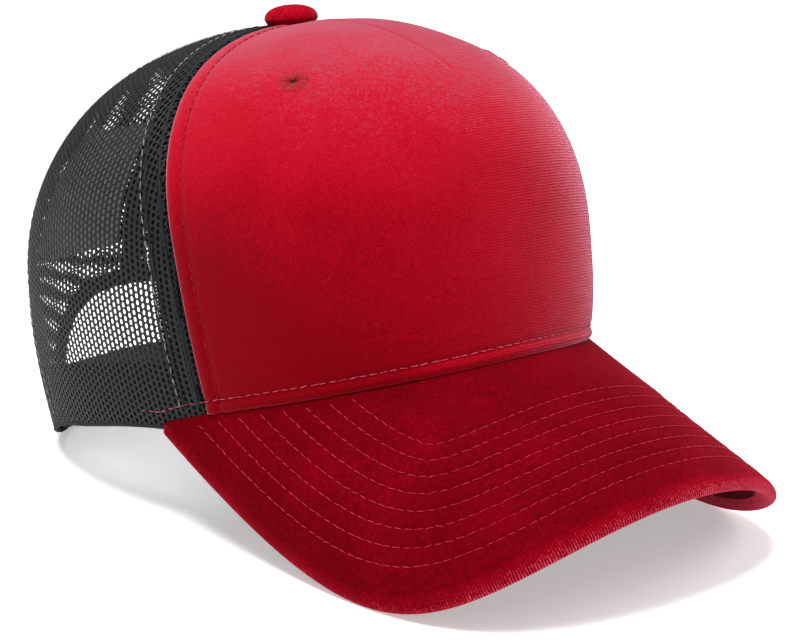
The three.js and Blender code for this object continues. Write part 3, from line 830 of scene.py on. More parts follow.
def net_topstitching():
    """Two rows of stitches on the outside of each side seam and of the centre back seam."""
    seams = [("back", math.pi, OPENING_HEIGHT + BINDING_WIDTH + 2)]
    seams += [(suffix, side * SIDE_SEAM, 3) for suffix, side in SIDES]
    for name, seam, low_height in seams:
        levels, _ = even_levels(seam, 240, float(level_at(seam, low_height)), 0.96)
        radius = ring_radius(seam, levels)
        rows = [crown_row(seam + offset / radius, levels, NET_ROW_DEPTH) for offset in TOP_ROW_OFFSETS]
        add_stitches(f"{name}_net_stitching", rows, GREY_THREAD, "tape_black", NET_STITCH, 31)


PATCH_ANGLES = (134, 174)
PATCH_HEIGHTS = (61, 107)
PATCH_FOLDED = (134, 148)  # the angles over which its folds die out
PATCH_DEPTH = 3.4
PATCH_THICKNESS = 0.6


def inner_patch():
    """Plain soft patch inside the back of the crown, beside the centre seam."""
    from_front = np.linspace(*PATCH_ANGLES, 70)[None, :]
    height = np.linspace(*PATCH_HEIGHTS, 60)[:, None]
    from_front, height = np.broadcast_arrays(from_front, height)
    fold = -0.6 * np.sin(from_front / 2.1) * (1 - smooth(from_front, *PATCH_FOLDED))
    depth = PATCH_DEPTH + 0.5 * np.sin(height / 13) + fold
    angles = -np.radians(from_front)
    wall_solid("inner_patch", angles, level_at(angles, height), depth, depth + PATCH_THICKNESS, PATCH_CLOTH,
               slot="lining_grey")


def front_lining():
    angles, levels = front_grid(60, 80, 0.01, 0.95, margin=5.0)
    wall_solid("front_lining_cloth", angles, levels, *LINING_DEPTH, LINING_CLOTH,
               slot="lining_grey", replaces=["front_lining"])


# ---- Net panels ----

NET_COLUMN = 2.27
NET_ROW = 2.17
YARN_HALF = 0.24
HOLE_HALF = (0.54, 0.79)
CELL_POINTS = 12
NET_REACH = 90.0  # sideways half width of the flat net that a panel is cut from
FOLD_WIDTH = 8.5
FOLD_DEPTH = 0.75
FOLD_PHASE = 0.9
HEM_FOLD_RADIUS = 0.95
HEM_FOLD_START = math.radians(68.5)
HEM_FOLD_HEIGHT = 0.35
HEM_FOLD_DEPTH = 0.9
HEM_BACKING_HEIGHTS = (0.2, 3.0)
HEM_BACKING_DEPTH = (0.95, 1.2)
NET_GROOVE = ((7.5, 0.9, 0.18),)


def net_cell():
    """One cell's corner places: the shared border hexagon and the rounded hole, 12 points each."""
    tip = (NET_COLUMN ** 2 - NET_ROW ** 2 / 4) / (2 * NET_COLUMN)
    wide = NET_COLUMN - tip
    hexagon = np.array([[wide, 0], [tip, NET_ROW / 2], [-tip, NET_ROW / 2],
                        [-wide, 0], [-tip, -NET_ROW / 2], [tip, -NET_ROW / 2]])
    middles = (hexagon + np.roll(hexagon, -1, 0)) / 2
    border = np.stack([hexagon, middles], 1).reshape(-1, 2)
    turn = np.arctan2(border[:, 1] / NET_ROW, border[:, 0] / (2 * wide))
    hole = np.stack([HOLE_HALF[0] * np.cos(turn), HOLE_HALF[1] * np.sin(turn)], -1)
    return border, hole


def net_pattern(length, keep):
    """Flat net of a length: u, v and height of each point, and quads. keep(u, v) says which cells stay."""
    border, hole = net_cell()
    middle = border * 0.42 + hole * 0.58
    columns = np.arange(math.floor(-NET_REACH / NET_COLUMN) - 1, math.ceil(NET_REACH / NET_COLUMN) + 2)
    rows = np.arange(-1, math.ceil(length / NET_ROW) + 2)
    c, r = np.meshgrid(columns, rows)
    centres = np.stack([c * NET_COLUMN, r * NET_ROW + (c % 2) * NET_ROW / 2], -1).reshape(-1, 2)
    centres = centres[keep(centres[:, 0], centres[:, 1])]
    raised = YARN_HALF * (0.5 + 0.5 * np.abs(border[:, 0]) / border[:, 0].max())
    rings = [(border, raised), (middle, raised * 0.8), (hole, 0 * raised), (middle, -raised * 0.8),
             (border, -raised)]
    cell = np.stack([np.column_stack([ring, height]) for ring, height in rings])
    flat = cell[None] + np.pad(centres, ((0, 0), (0, 1)))[:, None, None]
    index = np.arange(flat.size // 3).reshape(len(centres), len(rings), CELL_POINTS)
    following = np.roll(index, -1, 2)
    quads = np.stack([index[:, :-1], following[:, :-1], following[:, 1:], index[:, 1:]], -1).reshape(-1, 4)
    flat = flat.reshape(-1, 3)
    keys = np.round(flat * 200).astype(np.int64)  # points closer than 5 micrometres are one
    _, first, inverse = np.unique(keys, axis=0, return_index=True, return_inverse=True)
    return flat[first], inverse.ravel()[quads]


def ring_table(centre_angle, levels):
    """For each level, the angle at each arc length along the ring from the centre angle."""
    fine = np.linspace(centre_angle - 1.7, centre_angle + 1.7, 500)
    lengths = np.linspace(-NET_REACH, NET_REACH, 400)
    middle = np.argmin(np.abs(fine - centre_angle))
    arcs = [arc_length(crown_outer(fine, level)) for level in levels]
    return np.stack([np.interp(lengths, arc - arc[middle], fine) for arc in arcs])


def lookup(table, row, column):
    """Values between the entries of a table."""
    row = np.clip(row, 0, table.shape[0] - 1.001)
    column = np.clip(column, 0, table.shape[1] - 1.001)
    r, c = row.astype(int), column.astype(int)
    fr, fc = row - r, column - c
    top = table[r, c] * (1 - fc) + table[r, c + 1] * fc
    bottom = table[r + 1, c] * (1 - fc) + table[r + 1, c + 1] * fc
    return top * (1 - fr) + bottom * fr


def opening_top(x, margin):
    """Height above the hem of the half-moon widened by a margin, at a sideways place; 0 outside it."""
    reach = np.clip(np.abs(x) / (OPENING_HALF_WIDTH + margin), 0, 1)
    return (OPENING_HEIGHT + margin) * (1 - reach ** OPENING_POWER) ** (1 / OPENING_POWER)


def net_panel(name, side, left, right, depth=NET_DEPTH, replaces=(), only=None, phase=0.0):
    """Open net laid over the crown between two seams; left and right give seam angles at a level."""
    centre = (left(0.3) + right(0.3)) / 2
    levels, arc = even_levels(centre, 160)
    table = ring_table(centre, levels)

    def angle_level(u, v):
        row = v / arc[-1] * (len(levels) - 1)
        column = (u + NET_REACH) / (2 * NET_REACH) * (table.shape[1] - 1)
        return lookup(table, row, column), np.interp(v, arc, levels)

    def keep(u, v):
        angle, level = angle_level(u + phase, v)
        inside = (angle > left(level)) & (angle < right(level)) & (v > -1) & (v < arc[-1])
        points = crown_outer(angle, level)
        height = points[..., 2] - hem_height(angle)
        inside &= ~((np.cos(angle) < 0) & (height < opening_top(points[..., 0], 3.5)))
        return inside & only(angle, level) if only else inside

    flat, quads = net_pattern(arc[-1], keep)
    u, v = flat[:, 0] + phase, np.clip(flat[:, 1], 0.0, arc[-1])
    angle, level = angle_level(u, v)
    angle = np.clip(angle, left(level), right(level))
    from_seam = np.minimum(angle - left(level), right(level) - angle) * ring_radius(angle, level)
    sink = depth + edge_roll(from_seam, 1.8, 1.1) + ridges(from_seam, NET_GROOVE) - flat[:, 2]
    sink += 0.12 * np.sin(v / 11 + side) * np.sin(u / 9)
    make_mesh(name, crown_point(angle, level, sink), quads, NET_YARN, np.stack([u, v], -1), slot="net_black",
              replaces=replaces)


def seam_limits(side, first, second):
    """A panel's left and right seam angles as functions of the level, in rising order."""
    def left(level):
        return np.minimum(side * first(level), side * second(level))

    def right(level):
        return np.maximum(side * first(level), side * second(level))

    return left, right


def net_panels():
    """The four net panels, each with its folded edge."""
    for suffix, side in SIDES:
        for place, first, second in (("side", front_seam_angle, side_seam_angle),
                                     ("back", side_seam_angle, back_seam_angle)):
            left, right = seam_limits(side, first, second)
            net_panel(f"{place}_net_{suffix}", side, left, right, replaces=[f"{place}_mesh_{suffix}"])
            net_allowance(f"{place}_net_fold_{suffix}", side, left, right)


def net_allowance(name, side, left, right):
    """The folded edge of a net panel: a second layer of net along its seams."""
    def near_seam(angle, level):
        return np.minimum(angle - left(level), right(level) - angle) * ring_radius(angle, level) < FOLD_WIDTH

    net_panel(name, side, left, right, NET_DEPTH + FOLD_DEPTH, only=near_seam, phase=FOLD_PHASE)


def net_hems():
    """The net turned under along the hem, from the visor's corner to the back opening."""
    end = float(back_angle(OPENING_HALF_WIDTH))
    for suffix, side in SIDES:
        angles = side * np.linspace(HEM_FOLD_START, end, 220)
        path = crown_point(angles, level_at(angles, HEM_FOLD_HEIGHT), HEM_FOLD_DEPTH)
        points, faces = tube(path, HEM_FOLD_RADIUS, 10)
        uv = grid_uv(len(path), 10, 0.9, 0.6)[:, ::-1]
        make_mesh(f"net_hem_fold_{suffix}", points, faces, TAPE_CLOTH, uv, slot="net_black")
        columns, height = np.broadcast_arrays(angles[None, :], np.linspace(*HEM_BACKING_HEIGHTS, 6)[:, None])
        wall_solid(f"net_hem_backing_{suffix}", columns, level_at(columns, height), *HEM_BACKING_DEPTH,
                   TAPE_CLOTH, slot="net_black")


# ---- Tapes and sweatband ----

TAPE_HALF_WIDTH = 5.5
FRONT_TAPE_HALF_WIDTH = 7.0
TAPE_SWELL = ((2.6, 1.4, 0.3),)
TAPE_CREASE = ((0.0, 0.5, -0.25),)
TAPE_ROW_OFFSETS = (-4.2, 4.2)
BAND_ROW_HEIGHTS = (3.6, SWEATBAND_HEIGHT - 2.2)


def seam_tapes():
    """Folded tapes over the inside of the five seams, each with two rows of stitches."""
    seams = [("back_seam_tape", 1, back_seam_angle, OPENING_HEIGHT + BINDING_WIDTH, TAPE_HALF_WIDTH)]
    for suffix, side in SIDES:
        seams.append((f"front_seam_tape_{suffix}", side, front_seam_angle, 1.0, FRONT_TAPE_HALF_WIDTH))
        seams.append((f"side_seam_tape_{suffix}", side, side_seam_angle, 1.0, TAPE_HALF_WIDTH))
    for name, side, seam, low_height, half_width in seams:
        low = float(level_at(side * seam(0.0), low_height))
        column, _ = even_levels(side * seam(0.5), 130, low, 0.95)

        def angle_at(offset, level):
            centre = side * seam(level)
            return centre + offset / np.maximum(ring_radius(centre, level), 12)

        offsets = np.linspace(-half_width, half_width, 13)[None, :]
        levels = column[:, None] * np.ones_like(offsets)
        swell = ridges(np.abs(offsets), TAPE_SWELL) + ridges(offsets, TAPE_CREASE)
        wall_solid(f"{name}_cloth", angle_at(offsets, levels), levels, TAPE_DEPTH[0], TAPE_DEPTH[1] + swell,
                   TAPE_CLOTH, slot="tape_black", replaces=[name])
        rows = [crown_row(angle_at(offset, column), column, TAPE_DEPTH[1] + 0.1, -1)
                for offset in TAPE_ROW_OFFSETS]
        add_stitches(f"{name}_stitching", rows, DARK_THREAD, "tape_black", TAPE_STITCH)


def sweatband():
    """Padded band inside the hem, with a rounded upper edge."""
    end = float(back_angle(OPENING_HALF_WIDTH + 1))
    angles, height = np.broadcast_arrays(np.linspace(-end, end, 420)[None, :],
                                         np.linspace(0.6, SWEATBAND_HEIGHT, 34)[:, None])
    pad = 0.5 * np.sin(np.clip((height - 3.5) / (SWEATBAND_HEIGHT - 5), 0, 1) * np.pi) ** 0.6
    crimp = 0.10 * np.sin(angles * 61) * np.sin(height / 4 + np.sin(angles * 17))
    inner = SWEATBAND_DEPTH[1] + pad - 0.5 + crimp - edge_roll(SWEATBAND_HEIGHT - height, 1.2, 0.9)
    wall_solid("sweatband_cloth", angles, level_at(angles, height), SWEATBAND_DEPTH[0], inner, BAND_CLOTH,
               slot="band_black", replaces=["sweatband"])
    line = np.linspace(-end, end, 700)
    rows = [crown_row(line, level_at(line, height), SWEATBAND_DEPTH[1] - 0.2, -1)
            for height in BAND_ROW_HEIGHTS]
    add_stitches("sweatband_stitching", rows, DARK_THREAD, "band_black", BAND_STITCH)


# ---- Button and eyelets ----

BUTTON_RADIUS = 8.8
BUTTON_HEIGHT = 5.7
BUTTON_BASE = APEX_Z + 0.2
BUTTON_RIB = 0.95
EYELET_THREADS = 30
EYELET_MIDDLE = 2.75


def top_button():
    """Cloth-covered dome with diagonal ribs, turned under at its foot."""
    turns, rings = 160, 70
    turn = full_turn(turns)[None, :]
    profile = np.linspace(0, 1.32, rings)[:, None]
    dome = np.minimum(profile, 1) * np.pi / 2
    r = BUTTON_RADIUS * np.where(profile < 1, np.sin(dome) ** 0.92, 1 - 1.15 * (profile - 1))
    z = np.where(profile < 1, 1.0 + (BUTTON_HEIGHT - 1.0) * np.cos(dome) ** 0.85,
                 1.0 - 2.1 * smooth(profile, 1.0, 1.14))
    r = np.maximum(r, 0.02)
    x, y = r * np.cos(turn), r * np.sin(turn)
    z = z + 0.09 * np.sin((x * 0.8 + y * 0.6) * 2 * np.pi / BUTTON_RIB) * (profile < 0.9)
    points = np.stack([x, y + APEX_Y, z + BUTTON_BASE], -1).reshape(-1, 3)
    faces = outward_from(points, grid_faces(rings, turns, wrap=True), np.array([0, APEX_Y, BUTTON_BASE + 2]))
    uv = np.stack([points[:, 0] * 0.8 + points[:, 1] * 0.6, points[:, 0] * 0.6 - points[:, 1] * 0.8], -1)
    make_mesh("top_button_cover", points, faces, BUTTON_VELVET, uv, slot="velvet_red",
              replaces=["top_button"])


def outward_from(points, faces, centre):
    """Faces turned over if they look towards a centre."""
    middle = points[faces].mean(1)
    normal = np.cross(points[faces[:, 1]] - points[faces[:, 0]], points[faces[:, 2]] - points[faces[:, 0]])
    return faces[:, ::-1] if np.einsum("ij,ij->", normal, middle - centre) < 0 else faces


def eyelets():
    """Embroidered rings: radial threads round a small dark disc, painted shade standing in for the hole."""
    turns, rings = 210, 16
    turn = full_turn(turns)[None, :]
    over = np.linspace(0, np.pi, rings)[:, None]
    for suffix, side in SIDES:
        place = eyelet_centre(side)
        centre, normal = crown_point(*place), crown_normal(*place)
        below = centre - 3 * normal
        rays = spokes(turn, *tangents(normal))
        lump = 0.26 * np.abs(np.sin(turn * EYELET_THREADS / 2))
        lump = lump + 0.1 * np.sin(turn * 7 + side) + 0.08 * np.sin(turn * 13)
        r = EYELET_MIDDLE - (1.95 + lump) * np.cos(over)
        h = -0.4 + (0.62 + 0.8 * lump) * np.sin(over)
        points = (centre + r[..., None] * rays + h[..., None] * normal).reshape(-1, 3)
        faces = outward_from(points, grid_faces(rings, turns, wrap=True), below)
        make_mesh(f"eyelet_ring_{suffix}", points, faces, EYELET_THREAD, grid_uv(rings, turns, 0.3, 0.1),
                  slot="thread_red", replaces=[f"eyelet_{suffix}"])
        # A dark disc of painted shade stands in for the open hole
        r = np.array([0.02, 0.4, 0.8])[:, None, None]
        points = (centre + r * rays + 0.12 * normal).reshape(-1, 3)
        faces = outward_from(points, grid_faces(3, turns, wrap=True), below)
        make_mesh(f"eyelet_hole_{suffix}", points, faces, EYELET_SHADE, points[:, :2], slot="thread_red")


# ---- Visor ----

ROW_FIRST = 13.2
ROW_PITCH = 5.47
ROW_COUNT = 8
ROW_GROOVE = (0.8, -0.3)
ROW_SWELL = 0.08
CLOTH_THICKNESS = 0.8
CLOTH_TURN = 1.5  # how far the top cloth runs on under the board's edge


def bezier(points, share):
    """Points of a cubic curve at shares of its way."""
    p = np.asarray(points, float)
    t = np.asarray(share, float)[:, None]
    return (1 - t) ** 3 * p[0] + 3 * (1 - t) ** 2 * t * p[1] + 3 * (1 - t) * t ** 2 * p[2] + t ** 3 * p[3]


def visor_outline(count):
    """Flat pattern of the visor's outer edge, from the wearer's right corner round to the left."""
    across, forward = flat_place(*hem_plan(math.radians(CORNER_ANGLE)))
    half = bezier([(float(across) + VISOR_CORNER_STEP, float(forward)), VISOR_SHOULDER,
                   (VISOR_FRONT_HANDLE, VISOR_LENGTH), (0, VISOR_LENGTH)], np.linspace(0, 1, 400))
    return even_path(np.concatenate([half * [-1, 1], half[::-1][1:]]), count)


def visor_edge(count):
    """The outer edge's flat pattern, and its unit directions inwards."""
    edge = visor_outline(count)
    along = unit(np.gradient(edge, axis=0))
    inward = np.stack([along[:, 1], -along[:, 0]], -1)
    return edge, inward * np.sign((-edge * inward).sum(1, keepdims=True) + 1e-9)


def visor_root(count, inset=1.5):
    """Flat pattern of the line where the visor meets the crown, moved inwards a little."""
    angles = np.radians(np.linspace(-CORNER_ANGLE, CORNER_ANGLE, 500))
    path = even_path(np.stack(flat_place(*hem_plan(angles)), -1), count)
    along = unit(np.gradient(path, axis=0))
    return path - np.stack([-along[:, 1], along[:, 0]], -1) * inset


def outline_distance(flat):
    """Distance in from the visor's outer edge, for flat pattern places."""
    edge = visor_outline(700)
    result = np.empty(len(flat))
    for i in range(0, len(flat), 4000):
        part = flat[i:i + 4000]
        result[i:i + 4000] = np.sqrt(((part[:, None] - edge[None]) ** 2).sum(-1)).min(1)
    return result


def quilting(distance, from_root):
    """Height of the quilted cloth: a groove at each row of stitches, soft swells between them."""
    relief = ridges(distance, [(ROW_FIRST + i * ROW_PITCH, *ROW_GROOVE) for i in range(ROW_COUNT)])
    between = (distance - ROW_FIRST) / ROW_PITCH
    inside = (between > 0) & (between < ROW_COUNT - 1)
    relief += np.where(inside, ROW_SWELL * np.sin(np.pi * (between % 1.0)) ** 2, 0)
    return relief * smooth(from_root, 0.5, 3.0)


def visor_grid(rows, edge, inward, margin):
    """Flat places from the root to a margin short of the outer edge, and their distances from both."""
    root = visor_root(len(edge))
    share = np.linspace(0, 1, rows)[:, None, None]
    flat = root[None] * (1 - share) + (edge + inward * margin)[None] * share
    distance = outline_distance(flat.reshape(-1, 2)).reshape(flat.shape[:2])
    return flat, distance, np.linalg.norm(flat - root[None], axis=-1)


def visor_cloth():
    """The top cloth, wrapped round the board's edge and turned under, as one closed layer."""
    edge, inward = visor_edge(520)
    half = VISOR_THICKNESS / 2
    middle = VISOR_TOP - half
    flat, distance, from_root = visor_grid(150, edge, inward, VISOR_RIM)
    x, y = flat[..., 0], flat[..., 1]
    relief = quilting(distance, from_root)
    relief += 0.10 * np.sin(x / 8 + 1) * np.sin(y / 7) + 0.06 * np.sin(x / 3.1) * np.sin(y / 3.7 + 2)
    relief -= edge_roll(from_root, 1.2, 0.6)
    relief *= smooth(distance, VISOR_RIM, VISOR_RIM + 3.5)
    turn = np.linspace(0, np.pi, 22)[1:, None]
    under = np.linspace(VISOR_RIM, VISOR_RIM + CLOTH_TURN, 4)[1:]

    def skin(inset, relief_share):
        top = visor_point(x, y, VISOR_TOP - inset + relief * relief_share)
        size = half - inset
        wrap = edge[None] + inward[None] * (VISOR_RIM - (VISOR_RIM - inset) * np.sin(turn))[..., None]
        rim = visor_point(wrap[..., 0], wrap[..., 1], middle + size * np.cos(turn))
        back = edge[None] + inward[None] * under[:, None, None]
        lower = visor_point(back[..., 0], back[..., 1], middle - size)
        return np.concatenate([top, rim, lower])

    outside = skin(0.0, 1.0)
    inside = skin(CLOTH_THICKNESS, 0.3)
    across = np.cumsum(np.linalg.norm(np.diff(edge, axis=0, prepend=edge[:1]), axis=1))
    edge_rows = len(outside) - len(flat)
    beyond = VISOR_RIM - 0.35 * np.arange(1, edge_rows + 1)[:, None] + 0 * across[None]
    inwards = np.concatenate([distance, beyond])
    uv = np.stack([across[None] + 0 * inwards, inwards], -1)
    points, faces, uv = solid_between(outside, inside, uv)
    make_mesh("visor_top_velvet", points, faces, VISOR_VELVET, uv, slot="velvet_red",
              replaces=["visor_top_cloth"])


def visor_underside():
    """The cloth of the underside, inside the turned edge of the top cloth."""
    bottom = VISOR_TOP - VISOR_THICKNESS
    flat, distance, from_root = visor_grid(90, *visor_edge(360), VISOR_RIM + 1.7)
    x, y = flat[..., 0], flat[..., 1]
    lower = visor_point(x, y, bottom + 0.25 - 0.3 * quilting(distance, from_root))
    points, faces, uv = solid_between(lower, visor_point(x, y, bottom + 1.0), flat)
    make_mesh("visor_under_velvet", points, faces, UNDER_VELVET, uv, slot="velvet_red",
              replaces=["visor_under_cloth"])


def visor_rows():
    """Flat paths of the stitch rows: lines parallel to the outer edge, cut off at the crown."""
    edge, inward = visor_edge(900)
    root = visor_root(900, 0.0)
    rows = []
    for i in range(ROW_COUNT):
        distance = ROW_FIRST + i * ROW_PITCH
        path = edge + inward * distance
        clear = path[:, 1] > np.interp(path[:, 0], root[:, 0], root[:, 1]) + 0.8
        clear &= np.abs(path[:, 0]) < abs(root[0, 0])
        clear &= outline_distance(path) > distance - 0.15
        rows.append(even_path(path[clear], 500))
    return rows


def visor_stitching():
    """The quilting's stitches on both faces of the visor."""
    for name, height, face in (("visor_top_stitching", VISOR_TOP - 0.22, 1),
                               ("visor_under_stitching", VISOR_TOP - VISOR_THICKNESS + 0.3, -1)):
        rows = []
        for flat in visor_rows():
            path = visor_point(flat[:, 0], flat[:, 1], height)
            rows.append((path, visor_point(flat[:, 0], flat[:, 1], height + face) - path))
        add_stitches(name, rows, RED_THREAD, "thread_red", QUILT_STITCH, 21)


# ---- Back opening and straps ----

DRILL_RADIUS = 2.3
HOLE_RIM = (2.75, 0.4, 0.22)  # radius, and the rim's half width and height
STUD_PROFILE = [(0.001, -0.5), (1.55, -0.5), (1.5, 0.7), (1.9, 1.25), (1.85, 1.55), (1.5, 1.8), (0.9, 1.9),
                (0.45, 1.72), (0.001, 1.68)]
BEND_HALF_WIDTH = 2.5
BEND_HEIGHT = 14.0
BEND_DEPTH = 2.25
BINDING_ROW = 4.4  # margin of its stitch row


def binding_row(turn, margin, depth):
    """Points and normals round the half-moon, at margins outside its edge and depths in the crown."""
    cosine = signed_power(np.cos(turn), 2 / OPENING_POWER)
    sine = np.maximum(np.sin(turn), 0) ** (2 / OPENING_POWER)
    angle = back_angle((OPENING_HALF_WIDTH + margin) * cosine)
    return crown_row(angle, level_at(angle, 0.2 + (OPENING_HEIGHT + margin) * sine), depth)


def opening_binding():
    """Folded tape round the half-moon, rounded over its edge, with a row of stitches."""
    rows, sides = 260, 30
    turn = np.linspace(0, np.pi, rows)[:, None]
    section = full_turn(sides)[None, :]
    margin = BINDING_WIDTH / 2 * (1 - signed_power(np.cos(section), 0.5))
    depth = 0.45 - 0.85 * signed_power(np.sin(section), 0.6)
    points, _ = binding_row(*np.broadcast_arrays(turn, margin, depth))
    points = points.reshape(-1, 3)
    ends = [np.arange(sides), np.arange((rows - 1) * sides, rows * sides)[::-1]]
    caps = [[end[i], end[i + 1], end[sides - 2 - i], end[sides - 1 - i]]
            for end in ends for i in range(sides // 2 - 1)]
    faces = outward(points, np.concatenate([grid_faces(rows, sides, wrap=True), caps]))
    make_mesh("opening_binding_tape", points, faces, TAPE_CLOTH, grid_uv(rows, sides, 0.55, 0.45)[:, ::-1],
              slot="tape_black", replaces=["opening_binding"])
    row = binding_row(np.linspace(0.02, np.pi - 0.02, 400), BINDING_ROW, -0.3)
    add_stitches("binding_stitching", [row], DARK_THREAD, "tape_black", BINDING_STITCH)


def strap_half_height(from_end):
    """Half the strap's height at a distance from its rounded tip."""
    into = np.maximum(STRAP_CORNER - from_end, 0)
    return STRAP_HEIGHT / 2 - STRAP_CORNER + np.sqrt(np.maximum(STRAP_CORNER ** 2 - into ** 2, 0))


def strap_point(x, height, depth):
    angle = back_angle(x)
    return crown_point(angle, level_at(angle, height), depth)


def strap_depth(x, outwards):
    """Depth of a strap's outer face at a distance x towards its root from the centre line."""
    return STRAP_ROOT_DEPTH - outwards * STRAP_SPREAD * smooth(STRAP_HINGE_X - x, 2, 12)


def strap_blade(name, side, outwards, body, replaces):
    """A whole strap from its sewn end to its rounded tip, ready for its holes or studs."""
    tip = -STRAP_END_X
    straight = np.linspace(STRAP_HINGE_X + STRAP_ROOT_LENGTH, tip + STRAP_CORNER, 110)
    rounded = tip + STRAP_CORNER * (1 - np.sin(np.linspace(0, np.pi / 2 * 0.985, 16)[1:]))
    x = np.concatenate([straight, rounded])[:, None]
    across = np.linspace(-1, 1, 41)[None, :]
    half = strap_half_height(x - tip)
    from_middle = np.abs(across) * half
    height = STRAP_MIDDLE + across * half
    rim = edge_roll(half - from_middle, 0.5, 0.35) + edge_roll(x - tip, 0.5, 0.3)
    ridge = 0.18 * smooth(from_middle, 8.2, 8.6) * (1 - smooth(from_middle, 9.2, 9.5))
    depth = strap_depth(x, outwards)
    xs = side * x + 0 * across
    outer = strap_point(xs, height, depth + rim - ridge)
    inner = strap_point(xs, height, depth + STRAP_THICKNESS - rim)
    points, faces, uv = solid_between(outer, inner, np.stack([xs, height], -1))
    return make_mesh(name, points, faces, STRAP_PLASTIC, uv, body=body, slot="strap_plastic",
                     replaces=replaces)


def snap_pieces(side, outwards, profiles):
    """Turned pieces at every snap of a strap: one solid for each profile of (radius, height)."""
    depth = STRAP_ROOT_DEPTH - outwards * STRAP_SPREAD
    parts = [[] for _ in profiles]
    for i in range(SNAP_COUNT):
        x = side * (i * SNAP_PITCH - SNAP_FIRST_X)
        place = strap_point(x, STRAP_MIDDLE, depth)
        normal = unit(place - strap_point(x, STRAP_MIDDLE, depth + 1.0))
        for part, profile in zip(parts, profiles):
            part.append(turned(place, normal, profile))
    return [joined(part) for part in parts]


def turned(place, normal, profile, sides=32):
    """A turned piece along a normal, from a profile of (radius, height)."""
    turn = full_turn(sides)
    r, h = np.array(profile, float).T[..., None, None]
    points = (place + r * spokes(turn, *tangents(normal)) + h * normal).reshape(-1, 3)
    return points, outward(points, grid_faces(len(r), sides, wrap=True))


def joined(parts):
    """Several pieces of points and faces as one."""
    points, faces, start = [], [], 0
    for part_points, part_faces in parts:
        points.append(part_points)
        faces.append(part_faces + start)
        start += len(part_points)
    return np.concatenate(points), np.concatenate(faces)


def straps():
    """The two snap straps: one with holes, one with studs."""
    radius, rim_width, rim_height = HOLE_RIM
    turn = np.linspace(0, 2 * np.pi, 12)
    rim_profile = [(radius + rim_width * math.cos(t), 0.02 + rim_height * math.sin(t)) for t in turn]
    drill_profile = [(0.001, -4), (DRILL_RADIUS, -4), (DRILL_RADIUS, 3), (0.001, 3)]
    outer = strap_blade("outer_strap_with_holes", 1, 1, "outer_strap",
                        ["snap_strap_holes", "strap_root_left"])
    drills, rims = snap_pieces(1, 1, [drill_profile, rim_profile])
    cut_out(outer, drills)
    make_mesh("hole_rims", *rims, STRAP_PLASTIC, rims[0][:, :2], body="outer_strap", slot="strap_plastic")
    inner = strap_blade("inner_strap_with_studs", -1, -1, "inner_strap",
                        ["snap_strap_studs", "strap_root_right"])
    studs, = snap_pieces(-1, -1, [STUD_PROFILE])
    make_mesh("strap_studs", *studs, STRAP_PLASTIC, studs[0][:, :2], body="inner_strap", slot="strap_plastic")
    for strap, side, body in ((outer, 1, "outer_strap"), (inner, -1, "inner_strap")):
        start, end = (to_row(strap_point(side * (STRAP_HINGE_X + step), BEND_HEIGHT, BEND_DEPTH))
                      for step in (BEND_HALF_WIDTH, -BEND_HALF_WIDTH))
        strap.parent = None
        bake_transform(strap)


def cut_out(obj, cutter):
    """Cuts a joined solid out of a piece and applies the cut."""
    points, faces = cutter
    mesh = bpy.data.meshes.new("cutter")
    mesh.from_pydata(to_row(points).tolist(), [], faces.tolist())
    tool = bpy.data.objects.new("cutter", mesh)
    bpy.context.scene.collection.objects.link(tool)
    modifier = obj.modifiers.new("holes", "BOOLEAN")
    modifier.object = tool
    modifier.operation = "DIFFERENCE"
    modifier.solver = "EXACT"
    bpy.context.view_layer.update()
    evaluated = obj.evaluated_get(bpy.context.evaluated_depsgraph_get())
    result = bpy.data.meshes.new_from_object(evaluated)
    obj.modifiers.clear()
    obj.data = result
    bpy.data.objects.remove(tool)


# ---- Hidden CAD pieces that stay ----

def keep_cad_pieces():
    """Gives the hidden CAD pieces that stay their own materials."""
    for node, material in (("visor_board", BOARD_PLASTIC), ("button_rivet", RIVET_STEEL)):
        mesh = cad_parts[node].data
        mesh.materials.clear()
        mesh.materials.append(material)


# ---- Stage ----

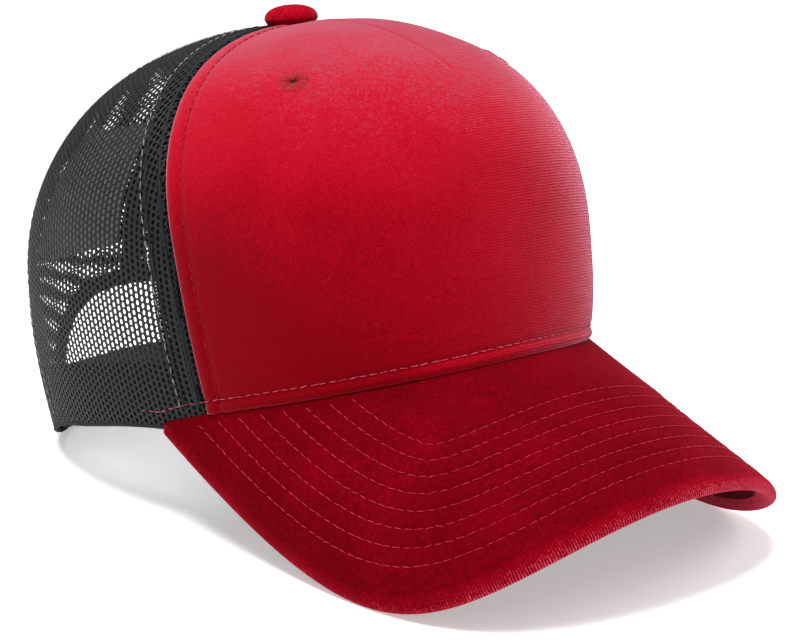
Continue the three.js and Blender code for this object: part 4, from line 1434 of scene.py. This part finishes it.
def stage():
    """A plain pale floor, and a white world that the camera sees brighter than it shines."""
    n = Nodes("floor")
    n.colour(n.noise(n.object_millimetres(), 0.004), (0.3, (0.9, 0.9, 0.9)), (0.7, (0.93, 0.93, 0.93)))
    n.constants(Roughness=0.9, Specular_IOR_Level=0.0, Emission_Strength=FLOOR_GLOW)
    n.shader.inputs["Emission Color"].default_value = (1, 1, 1, 1)
    bpy.ops.mesh.primitive_plane_add(size=FLOOR_SIZE, location=(0, 0, -FLOOR_SINK))
    floor = bpy.context.object
    floor.name = "floor"
    floor.data.materials.append(n.material)
    world = bpy.data.worlds.new("studio")
    bpy.context.scene.world = world
    world.use_nodes = True
    tree = world.node_tree
    background = tree.nodes["Background"]
    background.inputs["Color"].default_value = (1, 1, 1, 1)
    rays = tree.nodes.new("ShaderNodeLightPath")
    strength = tree.nodes.new("ShaderNodeMapRange")
    strength.inputs["To Min"].default_value = AMBIENT
    tree.links.new(rays.outputs["Is Camera Ray"], strength.inputs["Value"])
    tree.links.new(strength.outputs["Result"], background.inputs["Strength"])


def lights():
    """Square area lights, each turned to its target."""
    for name, place, target, size, watts in LIGHTS:
        data = bpy.data.lights.new(name, "AREA")
        data.size = size
        data.energy = watts
        light = bpy.data.objects.new(name, data)
        light.location = place
        light.rotation_euler = (Vector(target) - Vector(place)).to_track_quat("-Z", "Y").to_euler()
        bpy.context.scene.collection.objects.link(light)


def camera():
    """The camera, looking at the cap's own origin from its front right, a little aside and above."""
    azimuth, elevation, roll = (math.radians(a) for a in (CAMERA_AZIMUTH, CAMERA_ELEVATION, CAMERA_ROLL))
    back = Vector((math.sin(azimuth) * math.cos(elevation), -math.cos(azimuth) * math.cos(elevation),
                   math.sin(elevation)))
    right = Vector((math.cos(azimuth), math.sin(azimuth), 0))
    up = back.cross(right)
    place = right * CAMERA_ASIDE + up * CAMERA_UP + back * CAMERA_DISTANCE
    rolled_right = right * math.cos(roll) + up * math.sin(roll)
    rolled_up = -right * math.sin(roll) + up * math.cos(roll)
    data = bpy.data.cameras.new("camera")
    data.lens = CAMERA_LENS
    data.sensor_width = CAMERA_SENSOR
    data.clip_start, data.clip_end = CAMERA_CLIP
    obj = bpy.data.objects.new("camera", data)
    axes = Matrix([turn_to_row(v) for v in (rolled_right, rolled_up, back)]).transposed()
    obj.matrix_world = Matrix.Translation(to_row(np.array(place))) @ axes.to_4x4()
    bpy.context.scene.collection.objects.link(obj)
    bpy.context.scene.camera = obj


camera()
stage()
lights()
front_panel()
front_stitching()
net_topstitching()
inner_patch()
front_lining()
net_panels()
net_hems()
seam_tapes()
sweatband()
top_button()
eyelets()
visor_cloth()
visor_underside()
visor_stitching()
opening_binding()
straps()
keep_cad_pieces()
bpy.context.scene.view_settings.view_transform = "Standard"
